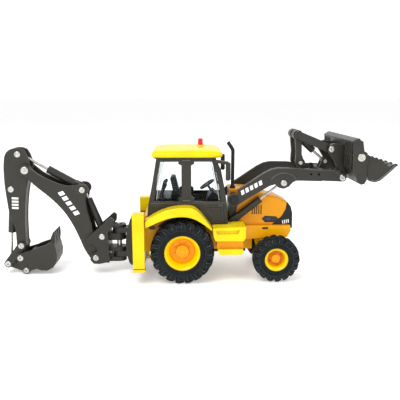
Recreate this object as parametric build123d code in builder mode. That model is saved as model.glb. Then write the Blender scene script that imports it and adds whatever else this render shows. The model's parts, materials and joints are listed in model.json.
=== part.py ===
from build123d import *
import os

# Toy backhoe loader, die-cast, about 1:50.
# Frame: +X to the front, +Y to the vehicle's left, +Z up, origin on the ground under the
# middle of the whole length. Outlines are drawn from the right side as (x, z), where x counts
# from the rear axle and z from the ground.

# ---- driving dimensions, mm ----
rear_axle_x = -4.6          # rear axle's place in the part's frame
wheelbase = 44.0
rear_tyre_r = 14.9
rear_tyre_width = 9.3
rear_rim_r = 8.9
rear_wheel_y = 17.3         # middle of a rear wheel
front_tyre_r = 11.0
front_tyre_width = 6.8
front_rim_r = 5.9
front_wheel_y = 17.1
tyre_bead = 0.6             # depth of the rim's groove that holds the tyre

running = 0.05              # radial clearance of a turning fit
side_gap = 0.2              # side clearance between plates that move past each other
pin_r = 0.9
axle_r = 1.2
rod_r = 0.65                # bright piston rods
cylinder_r = 1.65           # hydraulic barrels
rod_fit = 0.06

hood_half = 7.0
mast_plate = 0.45
rail_half = 9.2
cab_half = 15.0
fender_half = 22.0
step_half = 22.0
wall = 1.6                  # cab wall
glass = 0.6

arm_plate = 2.15
coupler_plate = 2.0
link_plate = 1.9
crank_plate = 1.8
bucket_half = 24.0
bucket_wall = 1.4

dipper_half = 3.3
dipper_plate = 1.2
boom_plate = 1.4
post_plate = 1.5
guide_plate = 1.0
ear_plate = 1.3
hoe_bucket_half = 6.4

leg_y = 20.2                # middle of a stabilizer leg
leg_half_x = 1.75
leg_half_y = 1.6
housing_wall = 0.8
leg_fit = 0.12
leg_lift = 6.3              # the right leg is stored this far off the ground

# ---- layers that follow from them ----
spine_half = hood_half - 0.6
roof_half = cab_half + 0.9
mirror_y = cab_half + 2.4
arm_inner = hood_half + mast_plate + running + 2 * cylinder_r + side_gap
arm_outer = arm_inner + arm_plate
coupler_outer = arm_inner - side_gap
coupler_inner = coupler_outer - coupler_plate
link_outer = coupler_inner - side_gap
link_inner = link_outer - link_plate
crank_outer = link_inner - side_gap
crank_inner = crank_outer - crank_plate
lift_y = arm_inner - side_gap - cylinder_r     # middle of a lift cylinder
boom_inner = dipper_half + side_gap
boom_half = boom_inner + boom_plate
post_inner = boom_half + side_gap
post_half = post_inner + post_plate
guide_inner = dipper_half + side_gap
guide_outer = guide_inner + guide_plate
ear_inner = guide_outer + side_gap
ear_outer = ear_inner + ear_plate
slot_half = dipper_half - dipper_plate
eye_half = 1.0              # half thickness of a centre eye
eye_r = 1.7
pin_hole_r = pin_r + running
axle_hole_r = axle_r + running
front_axle_z = front_tyre_r
rear_axle_z = rear_tyre_r

# ---- pivots, (x, z) ----
arm_pivot = (24.4, 38.2)
lift_foot = (24.0, 27.5)
lift_eye = (47.5, 46.2)
arm_tip = (75.0, 48.7)
crank_foot = (56.5, 54.8)
crank_top = (54.8, 68.1)
link_end = (69.9, 61.7)
tilt_foot = (69.4, 55.05)
front_tube = (67.5, 50.5)
rear_tube = (59.6, 50.6)
clam_hinge = (79.6, 59.3)
king_x = -31.5
boom_foot = (-42.4, 8.4)
boom_ram_foot = (-39.0, 19.1)
boom_top = (-48.0, 41.8)
dipper_pivot = (-74.7, 51.4)
dipper_ram_eye = (-78.1, 58.9)
bucket_ram_foot = (-82.3, 42.05)
guide_pivot = (-78.85, 14.07)
guide_end = (-85.93, 4.98)
hoe_pivot = (-79.24, 8.35)
hoe_link_pin = (-76.82, 2.02)
sides = {"right": -1, "left": 1}


# ---- drawing helpers ----
def side_view(y, at=(0, 0)):
    """Plane seen from the right side at y, its zero at the rear axle's ground point or at a pivot."""
    return Plane(origin=(rear_axle_x + at[0], y, at[1]), x_dir=(1, 0, 0), z_dir=(0, -1, 0))


def layer(side, inner, outer):
    """The two y values of a layer on one side of the middle, low one first."""
    return min(side * inner, side * outer), max(side * inner, side * outer)


def slab(points, y_low, y_high, round_r=0, mode=Mode.ADD):
    """A flat piece cut to an outline, from y_low to y_high."""
    with BuildSketch(side_view(y_high)) as outline:
        with BuildLine():
            Polyline(*points, close=True)
        make_face()
        if round_r > 0:
            fillet(outline.vertices(), round_r)
    extrude(outline.sketch, amount=y_high - y_low, mode=mode)


def disc(at, radius, y_low, y_high, mode=Mode.ADD):
    """A round piece or hole across the vehicle."""
    with BuildSketch(side_view(y_high, at)) as outline:
        Circle(radius)
    extrude(outline.sketch, amount=y_high - y_low, mode=mode)


def bar(start, end, r_start, r_end, y_low, y_high, mode=Mode.ADD):
    """A link with two round ends."""
    with BuildSketch(side_view(y_high)) as outline:
        with Locations(start):
            Circle(r_start)
        with Locations(end):
            Circle(r_end)
        make_hull(outline.edges())
    extrude(outline.sketch, amount=y_high - y_low, mode=mode)


def block(x_low, x_high, y_low, y_high, z_low, z_high, mode=Mode.ADD):
    """A box between two corners, x from the rear axle."""
    with BuildSketch(Plane.XY.offset(z_low)) as outline:
        with Locations((rear_axle_x + (x_low + x_high) / 2, (y_low + y_high) / 2)):
            Rectangle(x_high - x_low, y_high - y_low)
    extrude(outline.sketch, amount=z_high - z_low, mode=mode)


def round_bar(start, end, radius, y=0.0, mode=Mode.ADD):
    """A round bar between two points of a side view."""
    span_x = end[0] - start[0]
    span_z = end[1] - start[1]
    length = (span_x ** 2 + span_z ** 2) ** 0.5
    base = Plane(origin=(rear_axle_x + start[0], y, start[1]), z_dir=(span_x, 0, span_z))
    with BuildSketch(base) as outline:
        Circle(radius)
    extrude(outline.sketch, amount=length, mode=mode)


def along(start, end, distance):
    """The point at a distance from start towards end."""
    span_x = end[0] - start[0]
    span_z = end[1] - start[1]
    length = (span_x ** 2 + span_z ** 2) ** 0.5
    return start[0] + span_x * distance / length, start[1] + span_z * distance / length


def gap_between(start, end):
    """The distance between two points."""
    return ((end[0] - start[0]) ** 2 + (end[1] - start[1]) ** 2) ** 0.5


def write(piece, label):
    """Names a finished piece and writes its file."""
    piece.part.label = label
    export_step(piece.part, "parts/" + label + ".step")


# ---- cylinders ----
def ram_barrel(foot, eye, barrel_end, radius, foot_half, foot_gap, back, y=0.0):
    """A barrel with its foot eye; foot_gap leaves room between two ears, 0 makes one eye."""
    neck = along(foot, eye, back + 1.0)
    round_bar(along(foot, eye, back), along(foot, eye, barrel_end), radius, y)
    if foot_gap > 0:
        disc(foot, eye_r + 0.9, y - foot_gap, y + foot_gap, mode=Mode.SUBTRACT)
        for side in sides.values():
            low, high = layer(side, foot_gap, foot_half)
            bar(foot, neck, eye_r, radius - 0.15, y + low, y + high)
    else:
        bar(foot, neck, eye_r, radius - 0.15, y - foot_half, y + foot_half)
    disc(foot, pin_hole_r, y - foot_half - 1, y + foot_half + 1, mode=Mode.SUBTRACT)
    round_bar(along(foot, eye, back + 1.6), along(foot, eye, barrel_end + 1), rod_r + rod_fit, y,
              mode=Mode.SUBTRACT)


def ram_rod(foot, eye, start, eye_radius, hole_r, half=eye_half, y=0.0):
    """A piston rod with its flat eye."""
    length = gap_between(foot, eye)
    round_bar(along(foot, eye, start), along(foot, eye, length - eye_radius + 0.3), rod_r, y)
    disc(eye, eye_radius, y - half, y + half)
    if hole_r > 0:
        disc(eye, hole_r, y - half, y + half, mode=Mode.SUBTRACT)


os.makedirs("parts", exist_ok=True)

# ======== chassis ========
chassis_rear = -18.0
chassis_floor = 12.6
deck_z = 24.8
hanger_reach = 5.2          # hangers' outer faces, before and behind the front axle
hanger_x = wheelbase - hanger_reach
hanger_plate = 1.9
beam_boss_half = hanger_reach - hanger_plate - side_gap
rail_outline = [
    (29.4, deck_z),
    (wheelbase + 8.0, deck_z),
    (wheelbase + 8.4, 22.2),
    (wheelbase + 6.8, 19.1),
    (wheelbase, 19.9),
    (wheelbase - 8, 18.4),
    (29.4, 18.0),
]
with BuildPart() as chassis_frame:
    block(chassis_rear, 34.0, -spine_half, spine_half, chassis_floor, deck_z)
    block(30.0, wheelbase + 7.5, -spine_half, spine_half, 18.2, deck_z)
    block(chassis_rear, -7.0, -10.8, 10.8, chassis_floor, 30.5)
    block(chassis_rear, 29.4, -rail_half, rail_half, 20.4, deck_z)
    for side in sides.values():
        slab(rail_outline, *layer(side, spine_half, rail_half))
    for x_low in (hanger_x, wheelbase + hanger_reach - hanger_plate):
        block(x_low, x_low + hanger_plate, -3.2, 3.2, front_axle_z - 2.4, 18.2)
    disc((0, rear_axle_z), axle_hole_r, -12, 12, mode=Mode.SUBTRACT)
    with BuildSketch(Plane(origin=(0, 0, front_axle_z), z_dir=(1, 0, 0))) as trunnion_hole:
        Circle(pin_hole_r)
    extrude(trunnion_hole.sketch, amount=rear_axle_x + wheelbase + 8, mode=Mode.SUBTRACT)
    block(34.0, hanger_x - 0.01, -3.2, 3.2, 8.0, 18.2, mode=Mode.SUBTRACT)
write(chassis_frame, "chassis_frame")

with BuildPart() as belly_plate:
    block(-15.0, 31.0, -spine_half, spine_half, chassis_floor - 1.4, chassis_floor)
    fillet(belly_plate.edges().filter_by(Axis.Z), 1.5)
write(belly_plate, "belly_plate")

# ---- hood: thin shell, open below, with five vents on each side ----
hood_wall = 1.1
nose_x = wheelbase + 9.4
nose_line = [
    (nose_x - 2.8, 36.0),
    (nose_x - 3.4, 32.4),
    (nose_x - 5.3, 29.0),
    (nose_x - 8.0, 26.7),
    (nose_x - 10.0, deck_z),
]
hood_profile = [
    (22.6, deck_z),
    (22.6, 42.6),
    (27.0, 42.6),
    (33.4, 42.2),
    (38.6, 40.1),
    (45.8, 38.4),
] + nose_line
hood_inside = [
    (22.6 + hood_wall, deck_z - 1),
    (22.6 + hood_wall, 42.6 - hood_wall),
    (27.0, 42.6 - hood_wall),
    (33.2, 42.2 - hood_wall),
    (38.3, 40.1 - hood_wall),
    (45.6, 38.4 - hood_wall),
    (nose_x - 4.2, 36.4 - hood_wall),
    (nose_x - 4.9, 32.4),
    (nose_x - 6.8, 29.6),
    (nose_x - 9.0, 27.9),
    (nose_x - 11.4, deck_z - 1),
]
vent_count = 5
vent_step = 1.05
vent_width = 0.5
with BuildPart() as hood:
    slab(hood_profile, -hood_half, hood_half)
    fillet(hood.edges().filter_by(Axis.Y, reverse=True).filter_by(
        lambda edge: edge.center().Z > 36.0), 1.0)
    slab(hood_inside, -hood_half + hood_wall, hood_half - hood_wall, mode=Mode.SUBTRACT)
    for vent in range(vent_count):
        vent_x = 33.6 + vent * vent_step
        block(vent_x, vent_x + vent_width, -hood_half - 1, hood_half + 1, 30.0, 34.4,
              mode=Mode.SUBTRACT)
write(hood, "hood")

grille_profile = [
    (nose_x - 1.0, 33.9),
    (nose_x - 0.1, 30.5),
    (nose_x, 23.0),
    (nose_x - 0.8, 23.0),
    (nose_x - 0.8, deck_z),
] + nose_line[::-1]
grille_slats = 6
with BuildPart() as front_grille:
    slab(grille_profile, -hood_half - 0.15, hood_half + 0.15)
    for slat in range(grille_slats):
        slat_z = 25.6 + slat * 1.15
        block(nose_x - 0.55, nose_x + 1, -hood_half + 1.2, hood_half - 1.2, slat_z, slat_z + 0.55,
              mode=Mode.SUBTRACT)
write(front_grille, "front_grille")

exhaust_r = 0.85
exhaust_y = -4.4
with BuildPart() as exhaust_stack:
    with BuildLine() as stack_path:
        stack_x = rear_axle_x + 24.3
        FilletPolyline((stack_x, exhaust_y, 42.6), (stack_x, exhaust_y, 61.0),
                       (stack_x - 2.4, exhaust_y, 64.6), radius=2.0)
    with BuildSketch(Plane(origin=stack_path.line @ 0, z_dir=(0, 0, 1))):
        Circle(exhaust_r)
    sweep()
    with BuildSketch(Plane(origin=(stack_x, exhaust_y, 42.6), z_dir=(0, 0, 1))):
        Circle(exhaust_r + 0.55)
    extrude(amount=1.0)
write(exhaust_stack, "exhaust_stack")

# ---- loader masts: carry the arm pivots and the lift cylinders' feet ----
mast_boss_r = 2.2
mast_outline = [(22.7, deck_z), (22.7, 39.5), (23.4, 40.8), (25.6, 40.8), (27.0, 37.0),
                (25.8, 31.2), (27.0, 28.4), (27.4, deck_z)]
with BuildPart() as loader_masts:
    for side in sides.values():
        slab(mast_outline, *layer(side, hood_half, hood_half + mast_plate))
        disc(arm_pivot, mast_boss_r, *layer(side, hood_half, arm_inner - side_gap))
        disc(arm_pivot, pin_hole_r, *layer(side, hood_half + 0.3, arm_inner), mode=Mode.SUBTRACT)
        disc(lift_foot, pin_r, *layer(side, hood_half, arm_inner - side_gap))
write(loader_masts, "loader_masts")

# ======== cab ========
sill_z = 36.6
cab_front = 21.5
cab_top = 58.5
arch_r = rear_tyre_r + 1.4
floor_z = 32.6
cab_lower = [(-16.6, 27.0), (-15.7, sill_z), (20.9, sill_z), (cab_front, deck_z), (-15.0, deck_z)]
cab_upper = [(-15.7, sill_z), (-13.8, 45.9), (-11.6, cab_top), (15.4, cab_top), (18.0, 52.8),
             (19.9, 43.5), (20.9, sill_z)]
cab_inside = [(-15.7 + wall, sill_z - 1), (-13.8 + wall, 45.9), (-11.6 + wall, cab_top + 1),
              (15.4 - wall, cab_top + 1), (18.0 - wall, 52.8), (19.9 - wall, 43.5),
              (20.9 - wall, sill_z - 1)]
with BuildPart() as cab_body:
    slab(cab_lower, -cab_half, cab_half)
    for side in sides.values():
        disc((0, rear_axle_z), arch_r, *layer(side, 11.0, cab_half + 1), mode=Mode.SUBTRACT)
        door = [(10.6, 35.4), (19.4, 35.4), (20.0, 27.0), (15.6, 27.0)]
        slab(door, *layer(side, cab_half - 0.3, cab_half + 1), mode=Mode.SUBTRACT)
        panel = [(-14.2, 35.4), (8.6, 35.4), (8.6, 33.6), (-14.0, 31.6)]
        slab(panel, *layer(side, cab_half - 0.3, cab_half + 1), mode=Mode.SUBTRACT)
    block(chassis_rear, 29.4, -rail_half, rail_half, 20.0, deck_z, mode=Mode.SUBTRACT)
    block(chassis_rear, -7.0, -10.8, 10.8, 20.0, 30.5, mode=Mode.SUBTRACT)
    block(-15.7 + wall, 20.9 - wall, -cab_half + wall, cab_half - wall, floor_z, sill_z + 1,
          mode=Mode.SUBTRACT)
write(cab_body, "cab_body")

rear_window = [(-12.9, 38.0), (-1.6, 38.0), (-1.6, 39.6), (-0.2, 40.4), (-0.2, 54.9), (-1.6, 55.6),
               (-1.6, 56.6), (-9.9, 56.6), (-11.9, 46.0)]
front_window = [(5.7, 38.0), (18.0, 38.0), (17.4, 43.4), (15.8, 51.2), (13.9, 56.6), (5.7, 56.6),
                (5.7, 55.6), (4.3, 54.9), (4.3, 40.4), (5.7, 39.6)]
mirror_arm_r = 0.6
mirror_outline = [(20.0, 48.5), (20.0, 55.8), (20.6, 56.7), (22.0, 56.3), (22.1, 49.0), (21.4, 48.3)]
with BuildPart() as cab_frame:
    slab(cab_upper, -cab_half, cab_half)
    slab(cab_inside, -cab_half + wall, cab_half - wall, mode=Mode.SUBTRACT)
    for window in (rear_window, front_window):
        slab(window, -cab_half - 1, cab_half + 1, mode=Mode.SUBTRACT)
    block(17.0, 24.0, -cab_half + 2.2, cab_half - 2.2, 38.4, 50.6, mode=Mode.SUBTRACT)
    block(13.0, 24.0, -cab_half + 2.2, cab_half - 2.2, 50.5, 56.6, mode=Mode.SUBTRACT)
    block(-18.0, -8.0, -cab_half + 2.2, cab_half - 2.2, 38.4, 56.6, mode=Mode.SUBTRACT)
    for side in sides.values():
        y_low, y_high = layer(side, cab_half - 0.5, mirror_y + 0.3)
        bar((15.4, 56.9), (20.8, 56.2), mirror_arm_r, mirror_arm_r, y_low, y_high)
        y_low, y_high = layer(side, mirror_y - 1.4, mirror_y + 1.4)
        slab(mirror_outline, y_low, y_high)
write(cab_frame, "cab_frame")

with BuildPart() as glazing:
    slab(cab_inside, -cab_half + wall, cab_half - wall)
    glass_inside = [(-15.7 + wall + glass, sill_z - 2), (-13.8 + wall + glass, 45.9),
                    (-11.6 + wall + glass, cab_top + 2), (15.4 - wall - glass, cab_top + 2),
                    (18.0 - wall - glass, 52.8), (19.9 - wall - glass, 43.5),
                    (20.9 - wall - glass, sill_z - 2)]
    slab(glass_inside, -cab_half + wall + glass, cab_half - wall - glass, mode=Mode.SUBTRACT)
    block(-30, 40, -cab_half, cab_half, cab_top - 0.4, cab_top + 5, mode=Mode.SUBTRACT)
    block(-30, 40, -cab_half, cab_half, sill_z - 5, sill_z + 0.2, mode=Mode.SUBTRACT)
write(glazing, "glazing")

roof_edge = 60.6
roof_crown = 62.5
roof_mid = 2.35
roof_length = 32.8
with BuildPart() as roof:
    with BuildSketch(Plane.XY.offset(cab_top)) as roof_plan:
        with Locations((rear_axle_x + roof_mid, 0)):
            RectangleRounded(roof_length, 2 * roof_half, 3.0)
    extrude(roof_plan.sketch, amount=roof_edge - cab_top)
    with BuildSketch(Plane.XY.offset(roof_edge)) as crown_low:
        with Locations((rear_axle_x + roof_mid, 0)):
            RectangleRounded(roof_length, 2 * roof_half, 3.0)
    with BuildSketch(Plane.XY.offset(roof_crown)) as crown_high:
        with Locations((rear_axle_x + roof_mid - 0.3, 0)):
            RectangleRounded(roof_length - 6.5, 2 * roof_half - 9.0, 3.0)
    loft(sections=[crown_low.sketch, crown_high.sketch])
    fillet(roof.faces().sort_by(Axis.Z)[-1].edges(), 0.9)
    block(-9.0, 13.0, -12.0, 12.0, cab_top - 1, cab_top + 1.2, mode=Mode.SUBTRACT)
write(roof, "roof")

beacon_x = 8.9
with BuildPart() as beacon:
    with BuildSketch(Plane.XY.offset(roof_crown)):
        with Locations((rear_axle_x + beacon_x, 0)):
            Circle(1.5)
    extrude(amount=0.5)
    with BuildSketch(Plane.XY.offset(roof_crown + 0.5)):
        with Locations((rear_axle_x + beacon_x, 0)):
            Circle(1.25)
    extrude(amount=3.1, taper=3)
    fillet(beacon.faces().sort_by(Axis.Z)[-1].edges(), 0.4)
write(beacon, "beacon")

# ---- inside the cab ----
console_outline = [(11.2, floor_z + 1), (18.0, floor_z + 1), (18.0, 38.4), (15.0, 41.2), (12.6, 38.6)]
with BuildPart() as cab_interior:
    block(-13.2, 18.5, -cab_half + wall + glass + 0.3, cab_half - wall - glass - 0.3, floor_z,
          floor_z + 1.0)
    block(-12.6, -5.5, -9.5, 9.5, floor_z + 1.0, 38.6)
    slab(console_outline, -5.5, 5.5)
    for side in sides.values():
        for lever_y, reach in ((3.0, 0.0), (6.4, 0.6)):
            y_low, y_high = layer(side, lever_y - 0.45, lever_y + 0.45)
            bar((-10.6, 38.0), (-8.6 + reach, 44.6), 0.5, 0.8, y_low, y_high)
write(cab_interior, "cab_interior")

with BuildPart() as seat:
    slab([(-2.6, floor_z + 1), (5.0, floor_z + 1), (5.2, 37.4), (-0.8, 38.2), (-3.3, 47.9), (-5.0, 48.2),
          (-5.8, 47.0), (-4.0, 38.6), (-3.8, floor_z + 3)], -3.6, 3.6, 0.55)
write(seat, "seat")

wheel_low = (9.2, 41.2)
wheel_high = (15.8, 45.6)
with BuildPart() as steering_wheel:
    tilt_plane = Plane(origin=(rear_axle_x + 12.4, 0, 43.4), x_dir=(wheel_high[0] - wheel_low[0], 0,
                       wheel_high[1] - wheel_low[1]), z_dir=(-4.4, 0, 6.6))
    with BuildSketch(tilt_plane) as wheel_ring:
        Circle(4.0)
        Circle(3.1, mode=Mode.SUBTRACT)
        Rectangle(6.6, 1.0)
        Rectangle(1.0, 6.6)
        Circle(1.2)
    extrude(wheel_ring.sketch, amount=0.8)
    round_bar((12.8, 42.8), (14.2, 40.6), 0.6)
write(steering_wheel, "steering_wheel")

# ---- fenders and steps ----
fender_top = [(-17.0, 30.1), (-14.4, 31.9), (-9.9, 34.4), (-4.5, 36.1), (1.4, 36.6), (5.2, 36.3),
              (7.9, 34.2), (10.9, 30.5), (13.9, 26.4)]
fender_under = [(13.5, 25.6), (10.3, 28.3), (6.4, 30.9), (1.8, 32.3), (-4.5, 32.0), (-9.9, 30.2),
                (-17.0, 26.9)]
fender_skin = 1.2
fender_hollow_top = [(x, z - fender_skin) for x, z in fender_top[1:-1]]
with BuildPart() as rear_fenders:
    for side in sides.values():
        slab(fender_top + fender_under, *layer(side, cab_half, fender_half))
        hollow = [(-18.5, 28.0)] + fender_hollow_top + [(13.0, 26.0), (13.5, 24.0), (-18.5, 24.0)]
        slab(hollow, *layer(side, cab_half - 0.1, fender_half - fender_skin), mode=Mode.SUBTRACT)
write(rear_fenders, "rear_fenders")

step_end = wheelbase - front_tyre_r - 3.8
step_upper = [(14.0, 26.9), (step_end, 27.6), (step_end, 22.4), (step_end - 0.8, 20.8), (15.3, 20.8),
              (14.4, 22.8)]
step_lower = [(16.2, 16.4), (step_end - 0.8, 16.4), (step_end - 1.0, 14.8), (step_end - 1.8, 13.8),
              (17.3, 13.8)]
step_riser = [(16.0, 21.0), (step_end - 0.8, 21.0), (step_end - 0.8, 16.2), (16.2, 16.2)]
step_recess = [(15.6, 25.6), (step_end - 2.8, 25.9), (step_end - 3.6, 24.3), (16.2, 24.0)]
with BuildPart() as side_steps:
    for side in sides.values():
        slab(step_upper, *layer(side, rail_half, step_half), 0.4)
        slab(step_riser, *layer(side, rail_half, step_half - 3.4))
        slab(step_lower, *layer(side, rail_half, step_half - 1.4), 0.4)
        slab(step_recess, *layer(side, step_half - 0.7, step_half + 1), mode=Mode.SUBTRACT)
    block(13.0, cab_front, -cab_half, cab_half, deck_z, 30, mode=Mode.SUBTRACT)
    block(13.0, step_end + 1, -arm_inner - side_gap, arm_inner + side_gap, deck_z, 30, mode=Mode.SUBTRACT)
write(side_steps, "side_steps")

# ======== front axle ========
king_y = 10.8
beam_top = front_axle_z + 1.6
beam_bottom = front_axle_z - 1.6
knuckle_half = 2.0
with BuildPart() as front_axle_beam:
    block(wheelbase - 1.8, wheelbase + 1.8, -king_y, king_y, beam_bottom, beam_top)
    block(wheelbase - beam_boss_half, wheelbase + beam_boss_half, -2.4, 2.4, beam_bottom - 0.4,
          beam_top + 0.4)
    trunnion_plane = Plane(origin=(rear_axle_x + hanger_x, 0, front_axle_z), z_dir=(1, 0, 0))
    with BuildSketch(trunnion_plane) as trunnion:
        Circle(pin_r)
    extrude(trunnion.sketch, amount=2 * hanger_reach)
    with BuildSketch(Plane.XY.offset(beam_bottom)) as eye_plan:
        with Locations((rear_axle_x + wheelbase, king_y), (rear_axle_x + wheelbase, -king_y)):
            Circle(1.8)
    extrude(eye_plan.sketch, amount=beam_top - beam_bottom)
    with BuildSketch(Plane.XY.offset(beam_bottom)) as king_holes:
        with Locations((rear_axle_x + wheelbase, king_y), (rear_axle_x + wheelbase, -king_y)):
            Circle(pin_hole_r)
    extrude(king_holes.sketch, amount=beam_top - beam_bottom, mode=Mode.SUBTRACT)
write(front_axle_beam, "front_axle_beam")

steer_arm = 5.2
arm_pin_r = 0.5
arm_pin_drop = 0.9          # how far a steering arm's pin reaches below the arm
knuckle_face = 1.0
rim_inset = 0.7             # rim's edge inside the tyre's side
hub_rise = 1.6              # hub's face above the dish
hub_skin = 0.8
front_dish = 3.4
rear_dish = 4.4


def hub_face(mid_y, width, dish):
    """The y of a hub's outer face."""
    return mid_y + width / 2 - rim_inset - dish + hub_rise


stub_end = hub_face(front_wheel_y, front_tyre_width, front_dish) - hub_skin - side_gap
for name, side in sides.items():
    with BuildPart() as knuckle:
        for z_low in (beam_bottom - side_gap - knuckle_face, beam_top + side_gap):
            with BuildSketch(Plane.XY.offset(z_low)) as cheek:
                with Locations((rear_axle_x + wheelbase, side * king_y)):
                    Circle(knuckle_half)
                with Locations((rear_axle_x + wheelbase, side * (king_y + 1.6))):
                    Rectangle(2 * knuckle_half, 1.8)
            extrude(cheek.sketch, amount=knuckle_face)
        y_low, y_high = layer(side, king_y + 2.0, king_y + 2.5)
        block(wheelbase - knuckle_half, wheelbase + knuckle_half, y_low, y_high,
              beam_bottom - side_gap - knuckle_face, beam_top + side_gap + knuckle_face)
        with BuildSketch(Plane.XY.offset(beam_bottom - side_gap - knuckle_face)) as king_pin:
            with Locations((rear_axle_x + wheelbase, side * king_y)):
                Circle(pin_r)
        extrude(king_pin.sketch, amount=beam_top - beam_bottom + 2 * (side_gap + knuckle_face))
        disc((wheelbase, front_axle_z), axle_r, *layer(side, king_y + 2.2, stub_end))
        low_z = beam_bottom - side_gap - knuckle_face
        block(wheelbase - steer_arm - 1.0, wheelbase - 1.0, side * king_y - 0.9, side * king_y + 0.9,
              low_z, low_z + knuckle_face)
        with BuildSketch(Plane.XY.offset(low_z - arm_pin_drop)) as arm_pin:
            with Locations((rear_axle_x + wheelbase - steer_arm, side * king_y)):
                Circle(arm_pin_r)
        extrude(arm_pin.sketch, amount=arm_pin_drop + 0.1)
    write(knuckle, "knuckle_" + name)

# The tie rod, the beam and the two steering arms make a parallelogram.
rod_z = beam_bottom - side_gap - knuckle_face - arm_pin_drop
rod_thick = arm_pin_drop - 0.1
rod_x = wheelbase - steer_arm
with BuildPart() as tie_rod:
    block(rod_x - 0.7, rod_x + 0.7, -king_y, king_y, rod_z, rod_z + rod_thick)
    for side in sides.values():
        with BuildSketch(Plane.XY.offset(rod_z)) as rod_end:
            with Locations((rear_axle_x + rod_x, side * king_y)):
                Circle(1.2)
        extrude(rod_end.sketch, amount=rod_thick)
        with BuildSketch(Plane.XY.offset(rod_z)) as rod_hole:
            with Locations((rear_axle_x + rod_x, side * king_y)):
                Circle(arm_pin_r + running)
        extrude(rod_hole.sketch, amount=rod_thick, mode=Mode.SUBTRACT)
write(tie_rod, "tie_rod")


# ======== wheels ========
def wheel_rim(x, z, side, mid_y, width, rim_r, hole_r, dish):
    """A pressed rim turned about the axle: deep dish outside, hub, flat back."""
    outer = mid_y + width / 2 - rim_inset
    inner = mid_y - width / 2 + rim_inset
    face = hub_face(mid_y, width, dish)
    profile = [(hole_r, inner), (rim_r, inner), (rim_r, inner + 0.9), (rim_r - tyre_bead, inner + 1.4),
               (rim_r - tyre_bead, outer - 1.4), (rim_r, outer - 0.9), (rim_r, outer),
               (rim_r - 0.9, outer), (rim_r - 1.6, outer - 0.7), (0.62 * rim_r, outer - dish),
               (0.36 * rim_r, outer - dish), (0.34 * rim_r, face), (0.0, face),
               (0.0, face - hub_skin), (hole_r, face - hub_skin)]
    wheel_plane = Plane(origin=(rear_axle_x + x, 0, z), x_dir=(0, 0, 1), z_dir=(-side, 0, 0))
    with BuildSketch(wheel_plane) as section:
        with BuildLine():
            Polyline(*profile, close=True)
        make_face()
    revolve(section.sketch, axis=Axis((rear_axle_x + x, 0, z), (0, 1, 0)), revolution_arc=360)


def wheel_tyre(x, z, side, mid_y, width, rim_r, tyre_r):
    """A tyre body with rounded shoulders; its bead sits in the rim's groove."""
    outer = mid_y + width / 2
    inner = mid_y - width / 2
    shoulder = 0.16 * tyre_r
    profile = [(rim_r - tyre_bead, inner + 2.1), (rim_r - tyre_bead, outer - 2.1), (rim_r, outer - 1.6),
               (rim_r, outer - 0.7), (rim_r + 1.2, outer), (tyre_r - shoulder, outer - 0.1),
               (tyre_r - 0.5, outer - 0.9), (tyre_r, outer - 2.4), (tyre_r, inner + 2.4),
               (tyre_r - 0.5, inner + 0.9), (tyre_r - shoulder, inner + 0.1), (rim_r + 1.2, inner),
               (rim_r, inner + 0.7), (rim_r, inner + 1.6)]
    wheel_plane = Plane(origin=(rear_axle_x + x, 0, z), x_dir=(0, 0, 1), z_dir=(-side, 0, 0))
    with BuildSketch(wheel_plane) as section:
        with BuildLine():
            Polyline(*profile, close=True)
        make_face()
    revolve(section.sketch, axis=Axis((rear_axle_x + x, 0, z), (0, 1, 0)), revolution_arc=360)


for name, side in sides.items():
    with BuildPart() as front_rim:
        wheel_rim(wheelbase, front_axle_z, side, front_wheel_y, front_tyre_width, front_rim_r,
                  axle_hole_r, front_dish)
    write(front_rim, "front_rim_" + name)
    with BuildPart() as front_tyre:
        wheel_tyre(wheelbase, front_axle_z, side, front_wheel_y, front_tyre_width, front_rim_r,
                   front_tyre_r)
    write(front_tyre, "front_tyre_" + name)

shaft_end = hub_face(rear_wheel_y, rear_tyre_width, rear_dish) - hub_skin
with BuildPart() as rear_axle_shaft:
    disc((0, rear_axle_z), axle_r, -shaft_end, shaft_end)
write(rear_axle_shaft, "rear_axle_shaft")
with BuildPart() as rear_rims:
    for side in sides.values():
        wheel_rim(0, rear_axle_z, side, rear_wheel_y, rear_tyre_width, rear_rim_r, axle_r, rear_dish)
write(rear_rims, "rear_rims")
with BuildPart() as rear_tyres:
    for side in sides.values():
        wheel_tyre(0, rear_axle_z, side, rear_wheel_y, rear_tyre_width, rear_rim_r, rear_tyre_r)
write(rear_tyres, "rear_tyres")

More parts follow.
